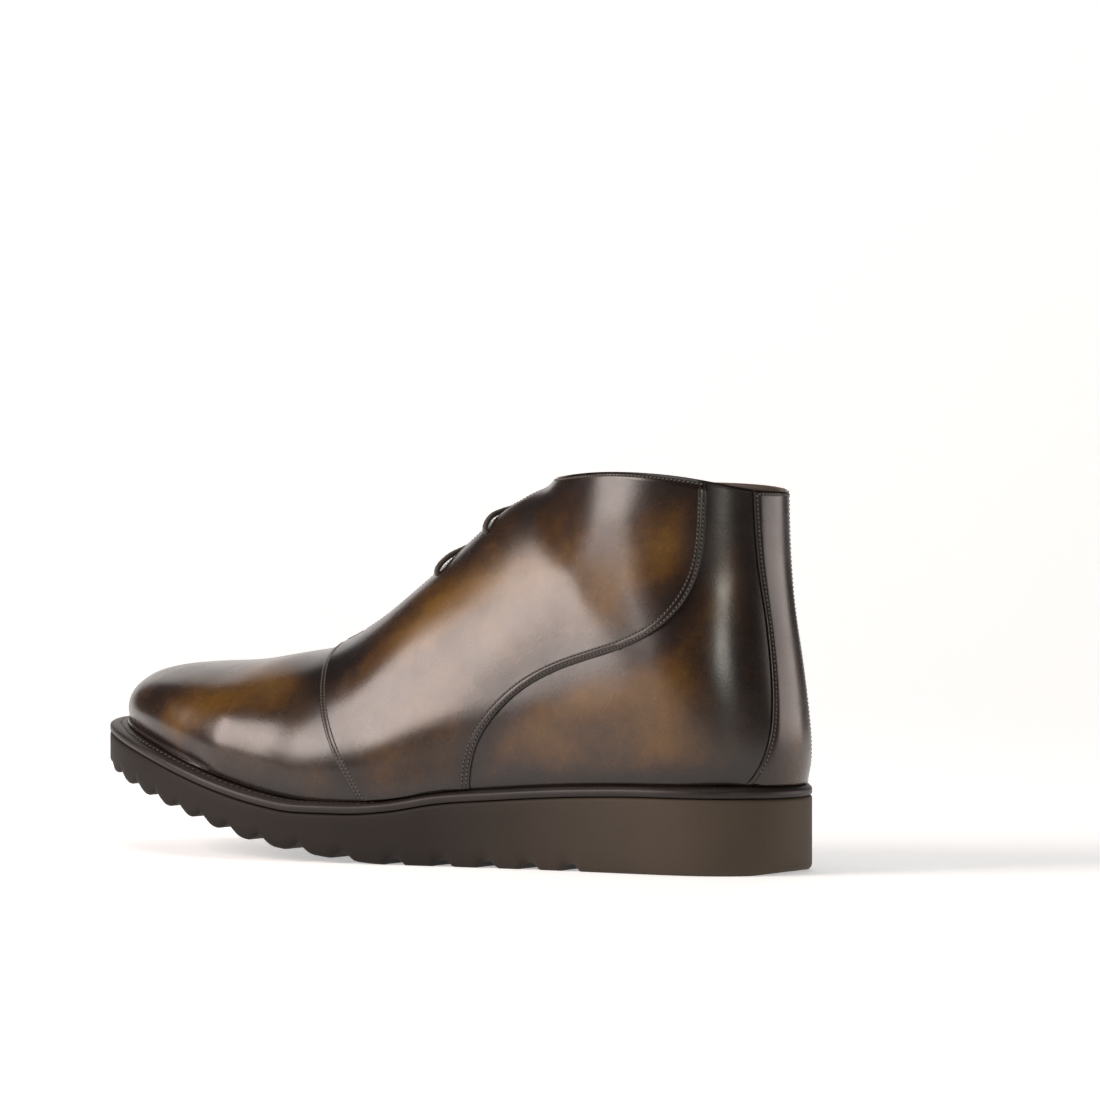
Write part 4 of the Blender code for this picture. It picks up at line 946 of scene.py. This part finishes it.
strip_leather = leather("strip_calf")
down = np.linspace(0.0, 1.0, 90)
half = spline(STRIP[:, 0], STRIP[:, 1], down)
shares = np.concatenate([[1.0, 0.985, 0.96, 0.93, 0.9, 0.865, 0.83], np.linspace(0.78, 0.06, 14), [0.0]])
signed = np.concatenate([shares, -shares[-2::-1]])
columns = []
for share in signed:
    side = 1 if share >= 0 else -1
    wide = half * abs(share)
    top = np.array(STRIP_TOP)
    start = float(surface(top, angle_below(top, side, wide[0]), side)[2])
    target = start + (welt_top(8.0) + FOOT_GAP + 0.02 - start) * down
    # at each height: halve s until the place that stands wide enough lies at that height
    low, high = np.full(len(down), HEEL_END - 2.0), np.full(len(down), STRIP_TOP)
    for _ in range(20):
        s = (low + high) / 2
        below = surface(s, angle_below(s, side, wide), side)[:, 2] < target
        low, high = np.where(below, s, low), np.where(below, high, s)
    s = (low + high) / 2
    columns.append((s, angle_below(s, side, wide), side))
layers = []
near = 1.0 - abs(signed)
bevel = 0.5 * (1.0 - ease(near, 0.0, 0.2)) + 0.2 * (1.0 - np.clip(near / 0.04, 0.0, 1.0))**2
for offset, drop in ((STRIP_GAP + STRIP_THICKNESS, bevel), (STRIP_GAP, 0.0 * bevel)):
    layer = np.stack([skin(s, a, side, np.full(s.shape, offset - less))
                      for (s, a, side), less in zip(columns, drop)], axis=1)
    layer[..., 2] = np.maximum(layer[..., 2], welt_top(layer[..., 0]) + FOOT_GAP)
    layer[-1, :, 2] = welt_top(layer[-1, :, 0]) + FOOT_GAP
    layers.append(layer)
outer, inner = layers
STRIP_FACE = outer
seam = np.broadcast_to((near * 9.0)[None, :], outer.shape[:2])
warmth = 0.25 + 0.35 * ease(outer[..., 2], 110.0, 45.0) + 0.0 * outer[..., 0]
STRIP_UP = np.stack([direction(s, a, side) for s, a, side in columns], axis=1)
STRIP_FAR = {"edge": line_distance(outer, [outer[:, 0], outer[:, -1]]),
             "top": line_distance(outer, [outer[0]])}
single = np.minimum(STRIP_FAR["edge"], STRIP_FAR["top"])
strip = add_mesh("back_strip_calf", *slab(outer, inner), [strip_leather],
                 on_both(patina=warmth, seam=seam, double=seam * 0.0 + UNSEWN, single=single))
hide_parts("back_strip")
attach(strip, "root")


# VAMP, COUNTER AND LINING. The shell that the panels and the strip are sewn to, seen at the toe
# and the heel, with a soft dark lining glued inside it.
upper_leather = leather("upper_calf")
cut_edge = plain_material("cut_edge_calf", (0.1, 0.062, 0.04), 0.7, 1500.0, 3.0, 0.4)
lining = plain_material("lining_leather", (0.035, 0.021, 0.014), 0.62, 800.0, 3.0, 0.25)
seam_lines = [PANEL[side][:, column] for side in (1, -1) for column in (0, -1)]
seam_lines += [STRIP_FACE[:, 0], STRIP_FACE[:, -1]]
rows_s = np.unique(np.concatenate([
    np.linspace(0.0, THROAT, 136), THROAT + np.linspace(0.0, 0.3, 13),
    np.linspace(THROAT + 0.3, COLLAR, 200)]))
columns_a = 68
points, quads, slots, tones, seams, tops, start = [], [], [], [], [], [], 0
for side in (1, -1):
    share = np.linspace(0.0, 1.0, columns_a)[None, :]
    s = np.repeat(rows_s[:, None], columns_a, axis=1)
    a = share * top_edge(s, side)
    outer = skin(s, a, side, lift(s))
    inner = skin(s, a, side, np.full(s.shape, -WALL + 0.5))
    inner[:, 0, 2] = np.where(rows_s <= HEEL_END, outer[:, 0, 2], inner[:, 0, 2])
    size = outer.size // 3
    index = np.arange(size).reshape(outer.shape[:2])
    quads += [grid_quads(*outer.shape[:2], start), grid_quads(*outer.shape[:2], start + size)]
    heel_row = int(np.argmax(rows_s >= HEEL_END))
    throat_row = int(np.argmax(rows_s >= THROAT))
    for line in (index[:heel_row + 1, 0], index[throat_row:, -1], index[-1, :]):
        low, high = line[:-1] + start, line[1:] + start
        quads.append(np.stack([low, high, high + size, low + size], axis=1))
    slots += [0] * len(quads[-5]) + [1] * len(quads[-4]) + [1] * len(quads[-3])
    slots += [2] * (len(quads[-2]) + len(quads[-1]))
    points += [outer.reshape(-1, 3), inner.reshape(-1, 3)]
    tones += [rubbed(outer).ravel()] * 2
    topline = line_distance(outer, [outer[-1]])
    seams += [np.minimum(line_distance(outer, seam_lines), topline).ravel()] * 2
    tops += [topline.ravel()] * 2
    start += 2 * size
values = [("patina", np.concatenate(tones)), ("seam", np.concatenate(seams)),
          ("double", np.full(start, UNSEWN)), ("single", np.concatenate(tops))]
upper = add_mesh("upper_shell", np.concatenate(points), np.concatenate(quads),
                 [upper_leather, lining, cut_edge], values, slots)
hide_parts("upper")
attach(upper, "root")


# TONGUE. A soft calf flap sewn under the vamp at the throat; it lies free under the facings and
# shows only from above and in front.
TONGUE = np.array([
    # section, half width in mm
    (6.2, 13.0), (9.0, 19.0), (13.0, 21.5), (18.2, 16.0),
])
TONGUE_DROP = 3.5
TONGUE_THICKNESS = 2.2

tongue_leather = leather("tongue_calf", 0.4)
s_rows = np.linspace(TONGUE[0, 0], TONGUE[-1, 0], 90)
half = spline(TONGUE[:, 0], TONGUE[:, 1], s_rows)
across = np.concatenate([[1.0, 0.985, 0.95], np.linspace(0.9, -0.9, 31), [-0.95, -0.985, -1.0]])
thin = 0.5 * TONGUE_THICKNESS * (1.0 - np.sqrt(1.0 - np.clip((abs(across) - 0.9) / 0.1, 0.0, 1.0)**2))
layers = []
for offset, sign in ((-(WALL + TONGUE_DROP), -1.0), (-(WALL + TONGUE_DROP + TONGUE_THICKNESS), 1.0)):
    columns = []
    for share, less in zip(across, 0.8 * thin):
        side = 1 if share >= 0 else -1
        a = angle_at(s_rows, side, half * abs(share)) if abs(share) > 1e-6 else np.full(s_rows.shape, 2.0)
        columns.append(skin(s_rows, a, side, np.full(s_rows.shape, offset + sign * less)))
    layers.append(np.stack(columns, axis=1))
even = np.ones(layers[0].shape[:2])
tongue = add_mesh("tongue_calf", *slab(*layers), [tongue_leather],
                  on_both(patina=0.3 * even, seam=12.0 * even, double=UNSEWN * even, single=UNSEWN * even))
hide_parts("tongue")
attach(tongue, "root")


# LACE. A thin round waxed cotton lace: two bars over the facings, joined down the inner side, with
# both ends stopping inside by the top outer hole.
LACE_RADIUS = 1.05


def curve_through(points, count):
    """Evenly stepped smooth curve through guide points (Catmull-Rom)."""
    guide = np.asarray(points, float)
    ends = np.concatenate([[2 * guide[0] - guide[1]], guide, [2 * guide[-1] - guide[-2]]])
    t = np.linspace(0.0, 1.0, 24, endpoint=False)[None, :, None]
    p0, p1, p2, p3 = (ends[i:len(guide) - 1 + i, None] for i in range(4))
    dense = 0.5 * (2 * p1 + (p2 - p0) * t + (2 * p0 - 5 * p1 + 4 * p2 - p3) * t**2
                   + (3 * p1 - p0 - 3 * p2 + p3) * t**3)
    dense = np.concatenate([dense.reshape(-1, 3), guide[-1:]])
    length = run_length(dense)
    return along_path(dense, length, np.linspace(0.0, length[-1], count))


def lace_point(section, share, offset):
    """Place over the facings: share 1 is the outer hole, 0 the middle line, -1 the inner hole, which
    stands higher up the facing."""
    side = 1 if share >= 0 else -1
    section = section + SLANT * (1.0 - share)
    a = float(angle_at(section, side, HOLE_FROM_MIDLINE * abs(share))) if share else 2.0
    return skin(np.array(float(section)), np.array(a), side, np.array(offset))


def cord_mesh(path, radius, sides, strands, depth):
    """Round tube along a path with slanting ridges: radius * (1 + depth * cos(strands * angle + turn))."""
    tangent = np.gradient(path, axis=0)
    tangent = tangent / np.linalg.norm(tangent, axis=1, keepdims=True)
    across = np.zeros_like(path)
    first = np.cross(tangent[0], [0.3, 0.2, 1.0])
    for i, along in enumerate(tangent):
        first = first - along * np.dot(first, along)
        first = first / np.linalg.norm(first)
        across[i] = first
    other = np.cross(tangent, across)
    length = run_length(path)
    angle = np.linspace(0.0, 2 * np.pi, sides, endpoint=False)[None, :]
    wave = 1.0 + depth * np.cos(strands * angle + length[:, None] * 3.2)
    ends = np.sqrt(np.clip(1.0 - (1.0 - np.minimum(length, length[-1] - length) / radius)**2, 0.02, 1.0))
    ends = np.where(np.minimum(length, length[-1] - length) > radius, 1.0, ends)[:, None]
    loops = path[:, None] + radius * wave[..., None] * ends[..., None] * (
        np.cos(angle)[..., None] * across[:, None] + np.sin(angle)[..., None] * other[:, None])
    rows = len(path)
    around = np.concatenate([loops, loops[:, :1]], axis=1)
    quads = grid_quads(rows, sides + 1)
    half_ring = np.arange(sides // 2)
    caps = []
    for row in (0, rows - 1):
        start = row * (sides + 1)
        caps.append(np.stack([start + half_ring, start + half_ring + 1,
                              start + sides - half_ring - 1, start + sides - half_ring], axis=1))
    return around.reshape(-1, 3), np.concatenate([quads] + caps)


cord_cotton = plain_material("lace_cotton", (0.05, 0.034, 0.026), 0.5, 2600.0, 2.0, 0.35)
cord_cotton.node_tree.nodes["Principled BSDF"].inputs["Sheen Weight"].default_value = 0.2

over = PANEL_FACE + LACE_RADIUS + 0.15
under = -(WALL + 1.8)
guide = [lace_point(HOLES[0], 1.0, under - 0.2)]
for section, sign in ((HOLES[0], 1.0), (HOLES[1], -1.0)):
    bar = ((1.0, 0.0), (1.0, over * 0.8), (0.86, over + 0.35), (0.6, over + 0.1), (0.3, over - 1.1),
           (0.0, over - 1.7), (-0.3, over - 1.1), (-0.6, over + 0.1), (-0.86, over + 0.35),
           (-1.0, over * 0.8), (-1.0, 0.0))
    guide += [lace_point(section, sign * share, offset) for share, offset in bar]
    guide.append(lace_point(section, -sign, under + 0.4))
    other = HOLES[1] if section == HOLES[0] else HOLES[0]
    guide += [lace_point(section + (other - section) * mix, -sign, under) for mix in (0.3, 0.5, 0.7)]
    if section == HOLES[0]:
        guide.append(lace_point(other, -sign, under + 0.4))
points, quads = cord_mesh(curve_through(guide, 420), LACE_RADIUS, 18, 4, 0.05)
lace = add_mesh("lace_round", points, quads, [cord_cotton])
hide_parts("lace")
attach(lace, "root")


# STITCHES. Waxed brown thread in lock stitch: double rows at the vamp and counter seams, a single
# row along the facings, the topline, the strip and the forefoot welt, and a bar tack at the throat.
parts = new_material("thread_waxed", (0.1, 0.078, 0.064), 0.5)
thread, shader, add, join = parts
where = add("ShaderNodeTexCoord").outputs["Object"]
worn = add("ShaderNodeTexNoise", {"Vector": where, "Scale": 120.0, "Detail": 3.0})
mixed(parts, worn.outputs["Fac"], (0.034, 0.026, 0.021), (0.145, 0.114, 0.094))
# needle holes: near-black beads sunk between the stitches, painted shade of the holes
parts = new_material("needle_hole_shade", (0.004, 0.003, 0.0025), 0.9)
pinhole_shade, shader, add, join = parts
shader.inputs["Specular IOR Level"].default_value = 0.1
where = add("ShaderNodeTexCoord").outputs["Object"]
dust = add("ShaderNodeTexNoise", {"Vector": where, "Scale": 900.0})
mixed(parts, dust.outputs["Fac"], (0.002, 0.0015, 0.0012), (0.008, 0.006, 0.005))


def stitch_row(path, up, pitch=1.55, long=1.15, thick=0.56, start=0.6, rise=0.04, turn=0.3):
    """Points and quads of a row of rounded beads laid along a path, up being square to its face.

    start is the first place in pitches, rise lifts a bead by a share of its thickness, and turn is
    the slant of each bead across the row in radians.
    """
    length = run_length(path)
    at = np.arange(pitch * start, length[-1] - pitch * 0.4, pitch)
    middle = along_path(path, length, at)
    up = along_path(up, length, at)
    up = up / np.linalg.norm(up, axis=1, keepdims=True)
    along = along_path(path, length, at + 0.4) - middle
    along = along - up * (along * up).sum(axis=1, keepdims=True)
    along = along / np.linalg.norm(along, axis=1, keepdims=True)
    across = np.cross(up, along)
    along, across = (along * np.cos(turn) + across * np.sin(turn),
                     across * np.cos(turn) - along * np.sin(turn))
    sides = 6
    stations = np.array([-1.0, -0.6, 0.6, 1.0])
    girth = np.array([0.25, 1.0, 1.0, 0.25])
    sink = (np.array([-0.45, 0.0, 0.0, -0.45]) + rise) * thick
    angle = np.linspace(0.0, 2 * np.pi, sides, endpoint=False)
    shape = np.stack([
        np.repeat(stations[:, None], sides, axis=1) * long / 2,
        girth[:, None] * np.cos(angle)[None] * thick / 2,
        girth[:, None] * np.sin(angle)[None] * thick / 2 + sink[:, None]], axis=-1)
    points = (middle[:, None, None] + along[:, None, None] * shape[None, ..., :1]
              + across[:, None, None] * shape[None, ..., 1:2] + up[:, None, None] * shape[None, ..., 2:])
    base = np.arange(len(stations) * sides).reshape(len(stations), sides)
    after = np.roll(base, -1, axis=1)
    wall = np.stack([base[:-1], after[:-1], after[1:], base[1:]], axis=-1)
    cap = np.array([[0, 1, 2, 3], [3, 4, 5, 0]])
    quads = np.concatenate([wall.reshape(-1, 4), cap[:, ::-1], cap + (len(stations) - 1) * sides])
    every = quads[None] + (np.arange(len(at)) * base.size)[:, None, None]
    return points.reshape(-1, 3), every.reshape(-1, 4)


def inward(grid, up, far, distance):
    """Path where the distance to an edge, far, reaches a value, read along each row of a grid."""
    reached = np.maximum(np.argmax(far >= distance, axis=1), 1)
    row = np.arange(len(grid))
    before, after = far[row, reached - 1], far[row, reached]
    t = np.clip((distance - before) / np.maximum(after - before, 1e-6), 0.0, 1.0)[:, None]
    return (grid[row, reached - 1] * (1.0 - t) + grid[row, reached] * t,
            up[row, reached - 1] * (1.0 - t) + up[row, reached] * t)


points, quads, slots, start = [], [], [], 0


def keep_row(path, up, pitch=1.55, long=1.15, thick=0.56):
    """Add a row to the thread's mesh: the stitches, and between them near-black beads, painted shade of the
    needle holes.
    """
    global start
    rows = (stitch_row(path, up, pitch, long, thick),
            stitch_row(path, up, pitch, 0.62, 0.66, 1.1, -0.38, 0.0))
    for slot, (row_points, row_quads) in enumerate(rows):
        points.append(row_points)
        quads.append(row_quads + start)
        slots.append(np.full(len(row_quads), slot))
        start += len(row_points)


def sew(grid, up, far, distance, first, last):
    """Keep a row at a distance from an edge, less the points before first and from last on."""
    line, square = inward(grid, up, far, distance)
    keep_row(line[first:last], square[first:last])


def turned(grid):
    """A grid of points read by its columns."""
    return grid.transpose(1, 0, 2)


for side in (1, -1):
    grid, up, far = PANEL[side], PANEL_UP[side], PANEL_FAR[side]
    turn = int(np.argmax(PANEL_FRONT[side][:, 0] > THROAT + 0.05))
    for distance in DOUBLE_ROWS:
        sew(grid, up, far["vamp"], distance, 2, turn - 2)
        sew(grid[:, ::-1], up[:, ::-1], far["rear"][:, ::-1], distance, 2, -3)
    sew(grid, up, far["facing"], SINGLE_ROW, turn + 3, -2)
    sew(turned(grid[::-1]), turned(up[::-1]), far["top"][::-1].T, SINGLE_ROW, 3, -3)
    # the bar tack: two short rows across the panel's front corner
    for rise in (0.5, 1.9):
        a = np.full(6, 1.9 - 0.016 * rise)
        s = THROAT + 0.03 + np.linspace(0.1, 0.62, 6) + 0.02 * rise
        face = skin(s, a, side, np.full(6, PANEL_FACE))
        keep_row(face, direction(s, a, side), pitch=1.35, long=1.0)
sew(STRIP_FACE, STRIP_UP, STRIP_FAR["edge"], SINGLE_ROW, 1, -3)
sew(STRIP_FACE[:, ::-1], STRIP_UP[:, ::-1], STRIP_FAR["edge"][:, ::-1], SINGLE_ROW, 1, -3)
sew(turned(STRIP_FACE), turned(STRIP_UP), STRIP_FAR["top"].T, SINGLE_ROW, 4, -4)
inside = loop - outward * (shelf * STITCH_GROOVE)[:, None]
line = np.column_stack([inside, sole_top(inside[:, 0]) + SOLE_GAP + WELT_EDGE + 0.78])
fore = slice(int(np.argmax(loop[:, 0] > 150.0)), len(loop) - int(np.argmax(loop[::-1, 0] > 150.0)))
keep_row(line[fore], np.tile([0.0, 0.0, 1.0], (len(loop), 1))[fore], pitch=2.9, long=2.1, thick=0.7)
stitches = add_mesh("stitches", np.concatenate(points), np.concatenate(quads), [thread, pinhole_shade], (),
                    np.concatenate(slots))
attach(stitches, "root")


# FLOOR AND LIGHT. A plain pale floor that runs up into a backdrop, large soft lamps above and
# beside the boot, and the camera at the height of a low table.
paper, shader, add, join = new_material("floor_paper", (0.9, 0.9, 0.9), 0.9)
shader.inputs["Emission Color"].default_value = (1.0, 1.0, 1.0, 1.0)
shader.inputs["Emission Strength"].default_value = 0.42
azimuth, height = np.radians(211.0), np.radians(4.3)
back = np.array([np.sin(azimuth) * np.cos(height), -np.cos(azimuth) * np.cos(height), np.sin(height)])
right = np.array([np.cos(azimuth), np.sin(azimuth), 0.0])
away = -back * [1.0, 1.0, 0.0] / np.linalg.norm(back[:2])
bend = np.linspace(0.0, np.pi / 2, 24)
depth = np.concatenate([[-3.0, -0.5, 0.6], 1.2 + 0.8 * np.sin(bend), [2.0]])
rise = np.concatenate([[0.0, 0.0, 0.0], 0.8 * (1.0 - np.cos(bend)), [3.0]])
sweep = depth[:, None] * away[None] + rise[:, None] * np.array([0.0, 0.0, 1.0])
wide = np.where(depth > 1.2, 1.1, 2.2)[:, None] * right[None]
sweep = np.stack([sweep - wide, sweep + wide], axis=1)
mesh = bpy.data.meshes.new("floor")
mesh.from_pydata(sweep.reshape(-1, 3).tolist(), [], grid_quads(len(depth), 2)[:, ::-1].tolist())
mesh.polygons.foreach_set("use_smooth", np.ones(len(mesh.polygons), bool))
mesh.materials.append(paper)
floor = bpy.data.objects.new("floor", mesh)
bpy.context.scene.collection.objects.link(floor)
floor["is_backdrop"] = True

world = bpy.data.worlds.new("studio")
world.use_nodes = True
sky = world.node_tree.nodes["Background"]
sky.inputs["Color"].default_value = (1, 1, 1, 1)
sky.inputs["Strength"].default_value = 0.06
bpy.context.scene.world = world


def add_lamp(name, place, aim, size, power, colour=(1.0, 0.87, 0.81)):
    """A rectangular soft lamp at a place, turned toward aim."""
    lamp = bpy.data.lights.new(name, "AREA")
    lamp.shape = "RECTANGLE"
    lamp.size, lamp.size_y = size
    lamp.energy = power
    lamp.color = colour
    item = bpy.data.objects.new(name, lamp)
    item.location = place
    item.rotation_euler = (Vector(aim) - Vector(place)).to_track_quat("-Z", "Y").to_euler()
    bpy.context.scene.collection.objects.link(item)


middle = (0.0, 0.0, 0.07)


def aimed(turn, climb, distance):
    """Place at a bearing from +X toward +Y, an elevation and a distance from the boot's middle."""
    turn, climb = np.radians(turn), np.radians(climb)
    return (distance * np.cos(turn) * np.cos(climb), distance * np.sin(turn) * np.cos(climb),
            middle[2] + distance * np.sin(climb))


add_lamp("lamp_top", (0.1, 0.1, 2.2), middle, (1.6, 1.2), 11.0, (1.0, 0.97, 0.94))
add_lamp("lamp_key", aimed(48.5, 24.0, 1.9), middle, (0.95, 1.25), 37.0)
add_lamp("lamp_low", aimed(66.0, 24.0, 1.9), middle, (0.26, 0.65), 4.6)
add_lamp("lamp_side", aimed(147.0, 14.0, 1.9), middle, (0.36, 0.26), 4.2, (0.97, 0.94, 0.84))
add_lamp("lamp_rear", aimed(-140.0, 4.0, 1.6), middle, (1.2, 0.45), 6.5)
# the camera looks past the boot by a little, which puts it at the photo's place in the frame
up = np.cross(back, right)
spot = SHIFT * 0.001 + back * 2.1
look = -back - 0.0423 * right + 0.0549 * up
camera_data = bpy.data.cameras.new("camera")
camera_data.lens = 192.7
camera_data.sensor_width = 36.0
camera = bpy.data.objects.new("camera", camera_data)
camera.location = spot.tolist()
camera.rotation_euler = Vector(look.tolist()).to_track_quat("-Z", "Y").to_euler()
bpy.context.scene.collection.objects.link(camera)
bpy.context.scene.camera = camera
bpy.context.scene.view_settings.view_transform = "Standard"

low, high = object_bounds()
